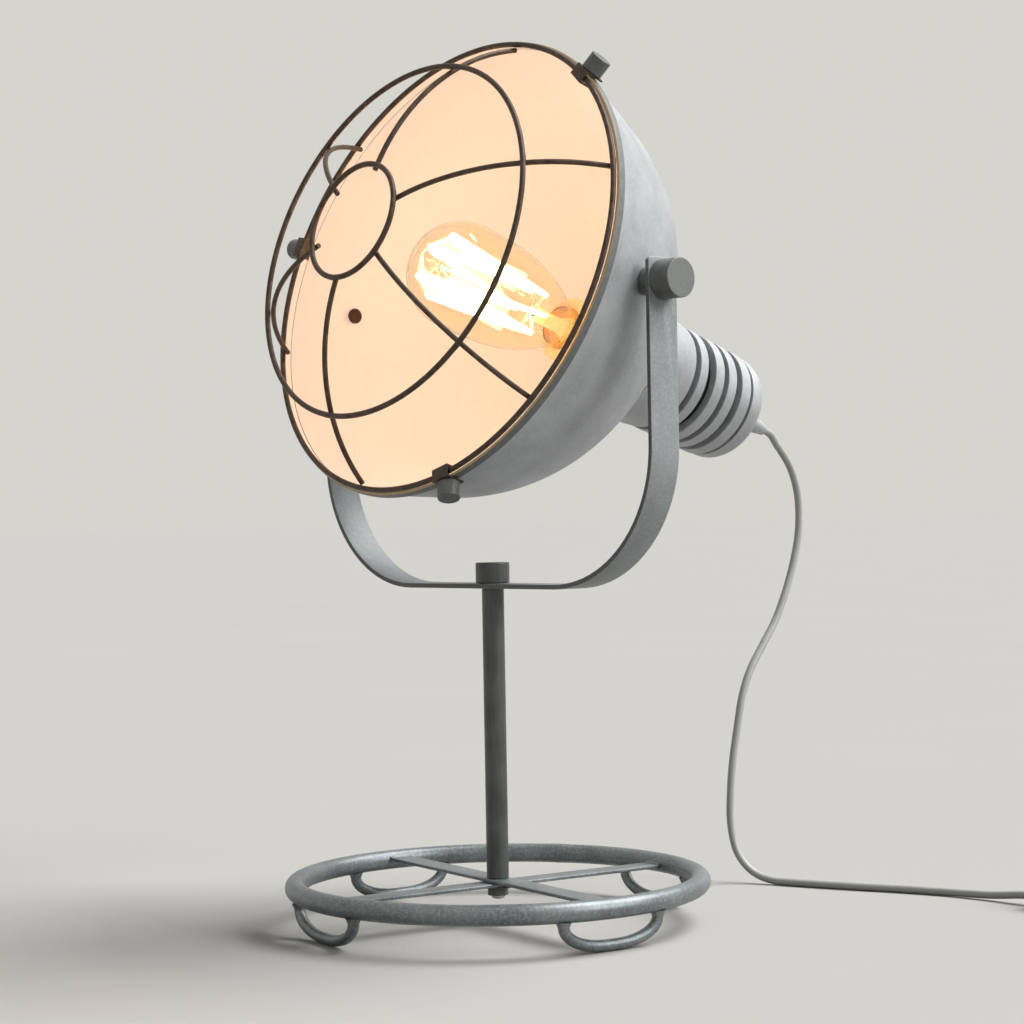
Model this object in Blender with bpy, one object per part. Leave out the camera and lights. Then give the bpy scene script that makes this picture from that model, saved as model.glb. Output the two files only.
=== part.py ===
"""Tabletop searchlight lamp: a round base on loop feet, a stem, a swivelling yoke and a tilting caged head.

Metres, +Z up, the table is the plane Z = 0 and the head looks along -Y.
Run with: blender --background --python part.py
"""
import math

import bmesh
import bpy
from mathutils import Matrix, Vector

# Clearances and facets
CONTACT_GAP = 0.0003
CUT_OVERRUN = 0.002
MERGE_DISTANCE = 0.000001
ROUND_SIDES = 20
BOLT_SIDES = 12
HANDLE_SIDES = 30
WIRE_SIDES = 6
HEX_SIDES = 6
ROD_SIDES = 8
FOOT_SIDES = 8
SMOOTH_ANGLE = math.radians(32)

# Base ring, feet and cross bars
RING_RADIUS = 0.119
RING_ROD_RADIUS = 0.006
RING_HEIGHT = 0.024
RING_SEGMENTS = 48
BASE_TURN = math.radians(-10)
BASE_SPOKES = 4
FOOT_ROD_RADIUS = 0.00325
FOOT_HALF_WIDTH = 0.0315
FOOT_CORNER_RUN = 0.0275
FOOT_CORNER_STEPS = 6
FOOT_END_RUN = 0.002
BAR_WIDTH = 0.015
BAR_THICKNESS = 0.002

# Stem, its through rod and the fasteners at both ends
STEM_RADIUS = 0.0065
STEM_BORE_RADIUS = 0.0044
ROD_RADIUS = 0.004
WASHER_RADIUS = 0.0085
WASHER_THICKNESS = 0.001
BASE_NUT_RADIUS = 0.0062
BASE_NUT_HEIGHT = 0.004
ROD_TIP_REACH = 0.002
ROD_TIP_CHAMFER = 0.001
COLLAR_RADIUS = 0.010
COLLAR_HEIGHT = 0.012
COLLAR_CAP_THICKNESS = 0.0035
COLLAR_CHAMFER = 0.0006

# Yoke: a flat bar bent into a U
YOKE_BAR_HEIGHT = 0.198
YOKE_WIDTH = 0.022
YOKE_THICKNESS = 0.0028
YOKE_BEND_RADIUS = 0.078
YOKE_BEND_STEPS = 12
YOKE_TIP_STEPS = 3
YOKE_TIP_RISE = 0.0012
YOKE_TIP_ROUND = 0.0025

# Tilt pivot
PIVOT_HEIGHT = 0.366
HEAD_TILT = math.radians(18)
HEAD_AXIS_RISE = 0.006
PIVOT_KNOB_RADIUS = 0.011
PIVOT_KNOB_LENGTH = 0.0133
PIVOT_KNOB_BORE_DEPTH = 0.009
PIVOT_KNOB_CHAMFER = 0.0007
PIVOT_BOLT_RADIUS = 0.0025
PIVOT_BOLT_HEAD_RADIUS = 0.0048
PIVOT_BOLT_HEAD_HEIGHT = 0.003
PIVOT_BOLT_HEAD_ROUND = 0.001
PIVOT_SPACER_RADIUS = 0.0078
PIVOT_SPACER_LENGTH = 0.0108

# Shade: skirt, round shoulder and cone, along the head's axis from the pivot
RIM_AXIAL = 0.040
RIM_RADIUS = 0.1394
SHADE_WALL = 0.001
SKIRT_SLOPE = math.radians(16)
SHOULDER_AXIAL = -0.008
SHOULDER_RADIUS = 0.115
CONE_SLOPE = math.radians(48)
SHADE_SEGMENTS = 48
SHOULDER_STEPS = 5
HEM_PROUD = 0.0004
HEM_THICKNESS = 0.0024
HEM_LENGTH = 0.005
HEM_RISE = 0.0008
HEM_ROUND = 0.0008

# Wire grill
GRILL_RIM_INSET = 0.0024
GRILL_RIM_RISE = 0.0027
GRILL_MID_INSET = 0.031
GRILL_MID_RISE = 0.0383
GRILL_CENTRE_RADIUS = 0.034
GRILL_CENTRE_RISE = 0.02818
GRILL_RING_ROD_RADIUS = 0.0016
GRILL_RIB_ROD_RADIUS = 0.0015
GRILL_TIP_RADIUS = 0.0315
GRILL_OUTER_SEGMENTS = 48
GRILL_CENTRE_SEGMENTS = 30
GRILL_RIBS = 6
GRILL_RIB_STEPS = (4, 5, 1)
GRILL_PHASE = math.radians(10.3)

# Grill clips and thumb screws
CLIP_COUNT = 3
CLIP_PHASE = math.radians(40)
CLIP_WIDTH = 0.012
CLIP_THICKNESS = 0.0011
CLIP_OUTER_LENGTH = 0.012
CLIP_INNER_LENGTH = 0.0065
THUMB_RADIUS = 0.0065
THUMB_LENGTH = 0.0095
THUMB_CHAMFER = 0.0005
THUMB_SHANK_RADIUS = 0.0012

# Neck and finned handle
NECK_FRONT_RADIUS = 0.0395
NECK_REAR_RADIUS = 0.035
NECK_LENGTH = 0.03592
NECK_WALL = 0.0012
FIN_RADIUS = 0.035
FIN_CHAMFER = 0.0005
CORE_RADIUS = 0.0288
CORE_BORE_RADIUS = 0.010
GROOVE_1 = 0.005
FIN_1 = 0.007
GROOVE_2 = 0.0075
FIN_2 = 0.008
GROOVE_3 = 0.0045
FIN_3 = 0.0075
GROOVE_4 = 0.0055
FIN_4 = 0.0085
GROOVE_5 = 0.003
CAP_RADIUS = 0.0343
CAP_BAND = 0.005
CAP_DOME = 0.0155
CAP_DOME_STEPS = 4
CAP_HOLLOW_RADIUS = 0.018
CAP_END_WALL = 0.0025
GLAND_BASE_RADIUS = 0.0078
GLAND_COLLAR = 0.004
GLAND_TIP_RADIUS = 0.0036
GLAND_LENGTH = 0.031

# Lampholder and its tube
HOLDER_RADIUS = 0.0205
HOLDER_STANDOFF = 0.0315
HOLDER_LENGTH = 0.052
HOLDER_TUBE_SINK = 0.008
HOLDER_LIP = 0.0015
TUBE_RADIUS = 0.005
TUBE_BORE_RADIUS = 0.0032
TUBE_LENGTH = 0.058
LEAD_RADIUS = 0.0024

# Bulb
BULB_RADIUS = 0.032
BULB_SEAT_DEPTH = 0.023
BULB_LENGTH = 0.142
BULB_NECK_RADIUS = 0.0125
BULB_WALL = 0.0008
BULB_CAP_RADIUS = 0.0131
BULB_CAP_LENGTH = 0.026
BULB_NECK_SINK = 0.0085
BULB_CAP_WALL = 0.0005
BULB_CONTACT_RADIUS = 0.005
BULB_CONTACT_LENGTH = 0.002
BULB_SEGMENTS = 24
BULB_DOME_STEPS = 6
BULB_TAPER_STEPS = 5
BULB_TAPER_POWER = 3
MOUNT_STEM_RADIUS = 0.0045
MOUNT_STEM_REACH = 0.019
MOUNT_FLARE_LENGTH = 0.009
CAGE_FRONT_RADIUS = 0.018
CAGE_REAR_RADIUS = 0.014
CAGE_FRONT_REACH = 0.016
CAGE_LENGTH = 0.075
CAGE_STRANDS = 6
CAGE_ROD_RADIUS = 0.0007
CAGE_HUB_RADIUS = 0.0030
CAGE_HUB_LENGTH = 0.002
CAGE_STEPS_PER_STRAND = 4
CAGE_SIDES = 4
CAGE_HOOK_TAPER_SHARE = 0.45

# Cord, its switch, tie and plug
CORD_RADIUS = 0.0025
CORD_STEP = 0.0115
COIL_OUTER_RADIUS = 0.0382
COIL_PITCH = 0.0056
COIL_LAYER_RISE = 0.0055
COIL_TURNS = 6.25
COIL_CLIMB_TURNS = 0.5
COIL_POINTS_PER_TURN = 24
SWITCH_LENGTH = 0.058
SWITCH_WIDTH = 0.024
SWITCH_HEIGHT = 0.018
SWITCH_CORNER = 0.005
ROCKER_LENGTH = 0.018
ROCKER_WIDTH = 0.011
ROCKER_HEIGHT = 0.007
ROCKER_PROUD = 0.003
ROCKER_PLAY = 0.0006
ROCKER_SINK = 0.0016
ROCKER_EDGE = 0.001
ROCKER_TILT = math.radians(8)
CORD_ENTRY_HEIGHT = 0.006
PLUG_LENGTH = 0.036
PLUG_WIDTH = 0.034
PLUG_HEIGHT = 0.014
PLUG_EDGE = 0.003
PLUG_TAIL_LENGTH = 0.018
PLUG_TAIL_RADIUS = 0.004
PIN_RADIUS = 0.002
PIN_LENGTH = 0.019
PIN_SPACING = 0.0186
PIN_TIP = 0.0008
TIE_WIDTH = 0.006
TIE_THICKNESS = 0.0008
TIE_CORNER_STEPS = 3
SWITCH_RIGHT = 0.234
SWITCH_BACK = 0.2515
COIL_LEAD_LENGTH = 0.040
PLUG_LEAD_LENGTH = 0.033

# Route of the cord between the gland and the switch, chosen by hand, from the stem's foot: right, back, up
CORD_ROUTE = (
    (0, 0.2579, 0.2831), (0, 0.2709, 0.2686), (0, 0.2780, 0.2509), (0, 0.2790, 0.2312), (0, 0.2755, 0.2136),
    (0, 0.2673, 0.1923), (0, 0.2547, 0.1693), (0, 0.2410, 0.1525), (0, 0.2274, 0.1359), (0, 0.2189, 0.1192),
    (0, 0.2134, 0.0986), (0, 0.2086, 0.0780), (0.0002, 0.2056, 0.0574), (0.0008, 0.2046, 0.0380),
    (0.0050, 0.2056, 0.0195), (0.0155, 0.2083, 0.0075), (0.0310, 0.2124, 0.0026), (0.0540, 0.2188, 0.0025),
    (0.0840, 0.2290, 0.0025), (0.1140, 0.2400, 0.0025), (0.1430, 0.2480, 0.0026), (0.1700, 0.2511, 0.0034),
)

# Sizes that follow from the ones above
FOOT_CENTRE_HEIGHT = FOOT_ROD_RADIUS * math.cos(math.pi / FOOT_SIDES)
HANDLE_LENGTH = (
    GROOVE_1 + FIN_1 + GROOVE_2 + FIN_2 + GROOVE_3 + FIN_3 + GROOVE_4 + FIN_4 + GROOVE_5
)
SHOULDER_FRONT_RADIUS = RIM_RADIUS - (RIM_AXIAL - SHOULDER_AXIAL) * math.tan(SKIRT_SLOPE)
CONE_FRONT_RADIUS = SHOULDER_FRONT_RADIUS - SHOULDER_RADIUS * (math.cos(SKIRT_SLOPE) - math.cos(CONE_SLOPE))
CONE_FRONT_AXIAL = SHOULDER_AXIAL - SHOULDER_RADIUS * (math.sin(CONE_SLOPE) - math.sin(SKIRT_SLOPE))
CONE_DROP_TO_NECK = CONE_FRONT_RADIUS - NECK_FRONT_RADIUS + NECK_WALL
NECK_SEAT_AXIAL = CONE_FRONT_AXIAL - CONE_DROP_TO_NECK / math.tan(CONE_SLOPE)
NECK_FRONT_AXIAL = NECK_SEAT_AXIAL - CONTACT_GAP / math.sin(CONE_SLOPE)
NECK_REAR_AXIAL = NECK_FRONT_AXIAL - NECK_LENGTH
SKIRT_RADIUS_AT_PIVOT = RIM_RADIUS - RIM_AXIAL * math.tan(SKIRT_SLOPE)
SHADE_HALF_WIDTH = math.sqrt(SKIRT_RADIUS_AT_PIVOT ** 2 - HEAD_AXIS_RISE ** 2)
YOKE_HALF_SPAN = SHADE_HALF_WIDTH + PIVOT_SPACER_LENGTH + YOKE_THICKNESS
HEM_RADIUS = RIM_RADIUS + HEM_PROUD
HEM_FRONT_AXIAL = RIM_AXIAL + HEM_RISE
HEM_REAR_AXIAL = HEM_FRONT_AXIAL - HEM_LENGTH
GRILL_OUTER_RADIUS = RIM_RADIUS - GRILL_RIM_INSET
GRILL_OUTER_AXIAL = RIM_AXIAL + GRILL_RIM_RISE
GRILL_MID_RADIUS = GRILL_OUTER_RADIUS - GRILL_MID_INSET
GRILL_MID_AXIAL = GRILL_OUTER_AXIAL + GRILL_MID_RISE
GRILL_CENTRE_AXIAL = GRILL_MID_AXIAL + GRILL_CENTRE_RISE
CAP_FRONT_AXIAL = NECK_REAR_AXIAL - HANDLE_LENGTH
CAP_REAR_AXIAL = CAP_FRONT_AXIAL - CAP_BAND - CAP_DOME
GLAND_REAR_AXIAL = CAP_REAR_AXIAL - CONTACT_GAP - GLAND_LENGTH
GLAND_TIP_RISE = HEAD_AXIS_RISE + GLAND_TIP_RADIUS
HEAD_REACH = -GLAND_REAR_AXIAL * math.cos(HEAD_TILT) + GLAND_TIP_RISE * math.sin(HEAD_TILT)
STEM_Y = (RING_RADIUS + RING_ROD_RADIUS - HEAD_REACH) / 2
HOLDER_REAR_AXIAL = NECK_REAR_AXIAL + HOLDER_STANDOFF
HOLDER_FRONT_AXIAL = HOLDER_REAR_AXIAL + HOLDER_LENGTH
BULB_REAR_AXIAL = HOLDER_FRONT_AXIAL - BULB_SEAT_DEPTH
BULB_CENTRE_AXIAL = BULB_REAR_AXIAL + BULB_LENGTH - BULB_RADIUS
CAGE_FRONT_AXIAL = BULB_CENTRE_AXIAL + CAGE_FRONT_REACH
CORD_DIAMETER = 2 * CORD_RADIUS
COIL_HEIGHT = TIE_THICKNESS + CONTACT_GAP + CORD_RADIUS


def material(name, colour, roughness, metallic=0.0):
    """A Principled material with a plain colour."""
    made = bpy.data.materials.new(name)
    made.use_nodes = True
    made.diffuse_color = (*colour, 1.0)
    shader = made.node_tree.nodes["Principled BSDF"]
    shader.inputs["Base Color"].default_value = (*colour, 1.0)
    shader.inputs["Roughness"].default_value = roughness
    shader.inputs["Metallic"].default_value = metallic
    return made


def empty(name, parent=None, location=(0, 0, 0), rotation=(0, 0, 0)):
    """A frame that pieces are parented to."""
    made = bpy.data.objects.new(name, None)
    bpy.context.collection.objects.link(made)
    made.parent = parent
    made.location = location
    made.rotation_euler = rotation
    return made


def place(data, name, finish, parent, location=(0, 0, 0), rotation=(0, 0, 0)):
    """Links a mesh or curve as a named object with its material."""
    made = bpy.data.objects.new(name, data)
    bpy.context.collection.objects.link(made)
    if not data.materials:
        data.materials.append(finish)
    made.parent = parent
    made.location = location
    made.rotation_euler = rotation
    return made


def finished(bm, name):
    """Turns a bmesh into a mesh with outward faces and smooth round sides."""
    bmesh.ops.remove_doubles(bm, verts=bm.verts, dist=MERGE_DISTANCE)
    bmesh.ops.recalc_face_normals(bm, faces=bm.faces)
    mesh = bpy.data.meshes.new(name)
    bm.to_mesh(mesh)
    bm.free()
    mesh.shade_smooth()
    mesh.set_sharp_from_angle(angle=SMOOTH_ANGLE)
    return mesh


def turned(name, outline, sides=ROUND_SIDES, closed=True):
    """Spins an outline of (radius, height) points about the local Z axis.

    A closed outline gives a ring, an open one starts and ends on the axis.
    """
    bm = bmesh.new()
    verts = [bm.verts.new((radius, 0, height)) for radius, height in outline]
    pairs = list(zip(verts, verts[1:]))
    if closed:
        pairs.append((verts[-1], verts[0]))
    edges = [bm.edges.new(pair) for pair in pairs]
    bmesh.ops.spin(
        bm, geom=verts + edges, cent=(0, 0, 0), axis=(0, 0, 1), dvec=(0, 0, 0),
        angle=math.tau, steps=sides, use_merge=True,
    )
    return finished(bm, name)


def tube_outline(outer, bore, low, high):
    """Closed outline of a plain tube."""
    return [(bore, low), (outer, low), (outer, high), (bore, high)]


def solid_outline(radius, low, high, chamfer=0.0):
    """Open outline of a plug whose outer end may be chamfered."""
    if chamfer:
        return [(0, low), (radius, low), (radius, high - chamfer), (radius - chamfer, high), (0, high)]
    return [(0, low), (radius, low), (radius, high), (0, high)]


def ring_outline(radius, height, rod_radius, sides=ROD_SIDES):
    """Closed round outline of a ring's rod, with a point at its outermost side."""
    return [
        (
            radius + rod_radius * math.cos(math.tau * i / sides),
            height + rod_radius * math.sin(math.tau * i / sides),
        )
        for i in range(sides)
    ]


def smooth_path(points, step, way_in=None, way_out=None):
    """A Catmull-Rom curve through the points, with a point about every step.

    way_in and way_out are unit directions that it starts and ends in.
    """
    points = [Vector(p) for p in points]
    first = points[1] - points[0]
    last = points[-1] - points[-2]
    before = points[1] - 2 * first.length * way_in if way_in else points[0] - first
    after = points[-2] + 2 * last.length * way_out if way_out else points[-1] + last
    ends = [before] + points + [after]
    path = []
    for before, start, end, after in zip(ends, ends[1:], ends[2:], ends[3:]):
        count = max(1, round((end - start).length / step))
        for i in range(count):
            t = i / count
            path.append(0.5 * (
                2 * start + (end - before) * t
                + (2 * before - 5 * start + 4 * end - after) * t ** 2
                + (3 * start - before - 3 * end + after) * t ** 3
            ))
    path.append(points[-1])
    return path


def rod(name, path, radius, across, sides=ROD_SIDES):
    """A round bar along an open path, with a flat of its section facing `across`."""
    bm = bmesh.new()
    rings = []
    side = Vector(across)
    for i, point in enumerate(path):
        ahead = path[min(i + 1, len(path) - 1)] - path[max(i - 1, 0)]
        tangent = ahead.normalized()
        side = (side - side.dot(tangent) * tangent).normalized()
        up = tangent.cross(side)
        rings.append([
            bm.verts.new(point + radius * (math.cos(turn) * side + math.sin(turn) * up))
            for turn in (math.tau * (k + 0.5) / sides for k in range(sides))
        ])
    for low, high in zip(rings, rings[1:]):
        for k in range(sides):
            bm.faces.new((low[k], low[(k + 1) % sides], high[(k + 1) % sides], high[k]))
    bm.faces.new(rings[0])
    bm.faces.new(rings[-1])
    return finished(bm, name)


def cord_curve(name, path, resolution=2):
    """A cord as a bevelled curve with filled ends."""
    curve = bpy.data.curves.new(name, "CURVE")
    curve.dimensions = "3D"
    curve.bevel_depth = CORD_RADIUS
    curve.bevel_resolution = resolution
    curve.use_fill_caps = True
    spline = curve.splines.new("POLY")
    spline.points.add(len(path) - 1)
    for point, place_on_path in zip(spline.points, path):
        point.co = (*place_on_path, 1.0)
    return curve


def box(name, size, chamfer=0.0, segments=2):
    """A block about its centre, with rounded edges if asked."""
    bm = bmesh.new()
    bmesh.ops.create_cube(bm, size=1.0, matrix=Matrix.Diagonal((*size, 1.0)))
    if chamfer:
        bmesh.ops.bevel(
            bm, geom=list(bm.edges), offset=chamfer, segments=segments, profile=0.5, affect="EDGES",
        )
    return finished(bm, name)


def cut(target, cutter_mesh, name, parent, location=(0, 0, 0), rotation=(0, 0, 0), operation="DIFFERENCE"):
    """Cuts a hidden shape out of a piece, or adds it."""
    cutter = bpy.data.objects.new(name, cutter_mesh)
    bpy.context.collection.objects.link(cutter)
    cutter.parent = parent
    cutter.location = location
    cutter.rotation_euler = rotation
    cutter.hide_render = True
    cutter.display_type = "WIRE"
    modifier = target.modifiers.new(name, "BOOLEAN")
    modifier.operation = operation
    modifier.object = cutter
    modifier.solver = "EXACT"


def shade_stations():
    """Outer wall of the shade as (radius, axial, slope), from the rim back to the neck."""
    stations = []
    front = HEM_REAR_AXIAL - CONTACT_GAP
    stations.append((shade_radius(front), front, SKIRT_SLOPE))
    for i in range(SHOULDER_STEPS + 1):
        slope = SKIRT_SLOPE + (CONE_SLOPE - SKIRT_SLOPE) * i / SHOULDER_STEPS
        radius = SHOULDER_FRONT_RADIUS - SHOULDER_RADIUS * (math.cos(SKIRT_SLOPE) - math.cos(slope))
        axial = SHOULDER_AXIAL - SHOULDER_RADIUS * (math.sin(slope) - math.sin(SKIRT_SLOPE))
        stations.append((radius, axial, slope))
    radius, axial, slope = stations[-1]
    mouth = NECK_FRONT_RADIUS - NECK_WALL - 2 * CONTACT_GAP
    stations.append((mouth, axial - (radius - mouth) / math.tan(CONE_SLOPE), CONE_SLOPE))
    return stations


def shade_radius(axial):
    """Outer radius of the skirt at a place along the axis."""
    return RIM_RADIUS - (RIM_AXIAL - axial) * math.tan(SKIRT_SLOPE)


def skirt_sideways(across, along, wall_inset=0.0):
    """How far the skirt's wall lies from the tilt axis's middle, at a place in the pivot's frame.

    across is along the head's upward normal and along is along its axis.
    """
    radius = shade_radius(along) - wall_inset / math.cos(SKIRT_SLOPE)
    return math.sqrt(radius ** 2 - (across - HEAD_AXIS_RISE) ** 2)


def make_base(root, metal, dark_metal, bright_metal):
    """Base ring, its loop feet, the crossed bars and the stem with its through rod."""
    turn = empty("base_turn", root, rotation=(0, 0, BASE_TURN))
    ring = turned("base_ring", ring_outline(RING_RADIUS, 0, RING_ROD_RADIUS), RING_SEGMENTS)
    place(ring, "base_ring", metal, turn, (0, 0, RING_HEIGHT))

    top = RING_HEIGHT - RING_ROD_RADIUS - CONTACT_GAP
    drop = top - FOOT_END_RUN - FOOT_CENTRE_HEIGHT
    corner = [(FOOT_HALF_WIDTH, top)]
    for i in range(FOOT_CORNER_STEPS + 1):
        swing = math.pi / 2 * i / FOOT_CORNER_STEPS
        along = FOOT_HALF_WIDTH - FOOT_CORNER_RUN * (1 - math.cos(swing))
        corner.append((along, top - FOOT_END_RUN - drop * math.sin(swing)))
    path = [Vector((0, -along, height)) for along, height in corner]
    path += [Vector((0, along, height)) for along, height in reversed(corner)]
    foot = rod("foot_loop", path, FOOT_ROD_RADIUS, (1, 0, 0), FOOT_SIDES)
    foot_from_centre = math.sqrt(RING_RADIUS ** 2 - FOOT_HALF_WIDTH ** 2)
    for i in range(BASE_SPOKES):
        spoke = empty(f"spoke_{i + 1}", turn, rotation=(0, 0, math.tau * i / BASE_SPOKES))
        place(foot, f"foot_{i + 1}", metal, spoke, (foot_from_centre, 0, 0))

    inside = (RING_RADIUS - RING_ROD_RADIUS) * math.cos(math.pi / RING_SEGMENTS) - CONTACT_GAP
    bar_length = 2 * math.sqrt(inside ** 2 - (BAR_WIDTH / 2) ** 2)
    bar = box("cross_bar", (bar_length, BAR_WIDTH, BAR_THICKNESS))
    bar_step = (BAR_THICKNESS + CONTACT_GAP) / 2
    hole_radius = ROD_RADIUS + CONTACT_GAP
    for name, swing, step in (("cross_bar_top", 0, bar_step), ("cross_bar_low", math.pi / 2, -bar_step)):
        piece = place(bar, name, metal, turn, (0, 0, RING_HEIGHT + step), (0, 0, swing))
        hole = turned(name + "_hole", solid_outline(hole_radius, -BAR_WIDTH, BAR_WIDTH), closed=False)
        cut(piece, hole, name + "_cut", turn, (0, 0, RING_HEIGHT + step))

    bars_top = RING_HEIGHT + bar_step + BAR_THICKNESS / 2
    bars_bottom = RING_HEIGHT - bar_step - BAR_THICKNESS / 2
    yoke_under = YOKE_BAR_HEIGHT - YOKE_THICKNESS / 2
    tube = tube_outline(STEM_RADIUS, STEM_BORE_RADIUS, bars_top + CONTACT_GAP, yoke_under - CONTACT_GAP)
    place(turned("stem_tube", tube), "stem_tube", metal, root)

    washer_top = bars_bottom - CONTACT_GAP
    washer_bottom = washer_top - WASHER_THICKNESS
    washer = tube_outline(WASHER_RADIUS, hole_radius, washer_bottom, washer_top)
    place(turned("base_washer", washer), "base_washer", dark_metal, root)
    nut_top = washer_bottom - CONTACT_GAP
    nut_bottom = nut_top - BASE_NUT_HEIGHT
    nut = tube_outline(BASE_NUT_RADIUS, hole_radius / math.cos(math.pi / HEX_SIDES), nut_bottom, nut_top)
    place(turned("base_nut", nut, HEX_SIDES), "base_nut", dark_metal, root)

    rod_low = nut_bottom - ROD_TIP_REACH
    collar_low = YOKE_BAR_HEIGHT + YOKE_THICKNESS / 2 + CONTACT_GAP
    rod_high = collar_low + COLLAR_HEIGHT - COLLAR_CAP_THICKNESS - CONTACT_GAP
    through = [
        (0, rod_low), (ROD_RADIUS - ROD_TIP_CHAMFER, rod_low), (ROD_RADIUS, rod_low + ROD_TIP_CHAMFER),
        (ROD_RADIUS, rod_high), (0, rod_high),
    ]
    place(turned("stem_rod", through, BOLT_SIDES, closed=False), "stem_rod", bright_metal, root)


def make_yoke(root, metal, dark_metal):
    """The swivelling U bar, the collar nut on top of it and the two pivot knobs."""
    swivel = empty("yoke_swivel", root)
    half = YOKE_WIDTH / 2
    side = YOKE_HALF_SPAN - YOKE_THICKNESS / 2
    tip_height = PIVOT_HEIGHT + YOKE_TIP_RISE + half
    stations = []
    for i in range(YOKE_TIP_STEPS + 1):
        swing = math.pi / 2 * i / YOKE_TIP_STEPS
        height = tip_height - YOKE_TIP_ROUND * (1 - math.cos(swing))
        stations.append((side, height, 0, half - YOKE_TIP_ROUND * (1 - math.sin(swing))))
    for i in range(YOKE_BEND_STEPS + 1):
        swing = math.pi / 2 * i / YOKE_BEND_STEPS
        across = side - YOKE_BEND_RADIUS * (1 - math.cos(swing))
        height = YOKE_BAR_HEIGHT + YOKE_BEND_RADIUS * (1 - math.sin(swing))
        stations.append((across, height, swing, half))
    mirrored = [(-across, height, math.pi - swing, wide) for across, height, swing, wide in stations]
    stations += reversed(mirrored)
    bm = bmesh.new()
    loops = []
    for across, height, swing, wide in stations:
        outward = Vector((math.cos(swing), 0, -math.sin(swing))) * (YOKE_THICKNESS / 2)
        centre = Vector((across, 0, height))
        edge = Vector((0, wide, 0))
        inner, outer = centre - outward, centre + outward
        corners = (inner - edge, inner + edge, outer + edge, outer - edge)
        loops.append([bm.verts.new(corner) for corner in corners])
    for low, high in zip(loops, loops[1:]):
        for k in range(4):
            bm.faces.new((low[k], low[(k + 1) % 4], high[(k + 1) % 4], high[k]))
    bm.faces.new(loops[0])
    bm.faces.new(loops[-1])
    yoke = place(finished(bm, "yoke"), "yoke", metal, swivel)
    reach = YOKE_HALF_SPAN + CUT_OVERRUN
    pivot_bore = solid_outline(PIVOT_BOLT_RADIUS + CONTACT_GAP, -reach, reach)
    pivot_hole = turned("pivot_hole", pivot_bore, BOLT_SIDES, closed=False)
    cut(yoke, pivot_hole, "yoke_pivot_cut", swivel, (0, 0, PIVOT_HEIGHT), (0, math.pi / 2, 0))
    deep = YOKE_THICKNESS / 2 + CUT_OVERRUN
    stem_bore = solid_outline(ROD_RADIUS + CONTACT_GAP, -deep, deep)
    stem_hole = turned("stem_hole", stem_bore, BOLT_SIDES, closed=False)
    cut(yoke, stem_hole, "yoke_stem_cut", swivel, (0, 0, YOKE_BAR_HEIGHT))

    collar_bore = ROD_RADIUS + CONTACT_GAP
    bore_top = COLLAR_HEIGHT - COLLAR_CAP_THICKNESS
    collar = [
        (0, bore_top), (collar_bore, bore_top), (collar_bore, 0), (COLLAR_RADIUS, 0),
        (COLLAR_RADIUS, COLLAR_HEIGHT - COLLAR_CHAMFER), (COLLAR_RADIUS - COLLAR_CHAMFER, COLLAR_HEIGHT),
        (0, COLLAR_HEIGHT),
    ]
    collar_low = YOKE_BAR_HEIGHT + YOKE_THICKNESS / 2 + CONTACT_GAP
    place(turned("collar_nut", collar, closed=False), "collar_nut", metal, root, (0, 0, collar_low))

    knob_bore = PIVOT_BOLT_RADIUS + CONTACT_GAP
    knob = [
        (0, PIVOT_KNOB_BORE_DEPTH), (knob_bore, PIVOT_KNOB_BORE_DEPTH), (knob_bore, 0),
        (PIVOT_KNOB_RADIUS, 0),
        (PIVOT_KNOB_RADIUS, PIVOT_KNOB_LENGTH - PIVOT_KNOB_CHAMFER),
        (PIVOT_KNOB_RADIUS - PIVOT_KNOB_CHAMFER, PIVOT_KNOB_LENGTH), (0, PIVOT_KNOB_LENGTH),
    ]
    knob_mesh = turned("pivot_knob", knob, closed=False)
    knob_place = YOKE_HALF_SPAN + CONTACT_GAP
    for name, sign in (("pivot_knob_right", 1), ("pivot_knob_left", -1)):
        spot = (sign * knob_place, 0, PIVOT_HEIGHT)
        place(knob_mesh, name, dark_metal, swivel, spot, (0, sign * math.pi / 2, 0))
    return empty("head_tilt", swivel, (0, 0, PIVOT_HEIGHT), (math.pi / 2 - HEAD_TILT, 0, 0))


def radial_frame(name, parent, around):
    """A frame turned about the head's axis, its X pointing out at an angle from the top."""
    return empty(name, parent, rotation=(0, 0, math.pi / 2 - around))


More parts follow.
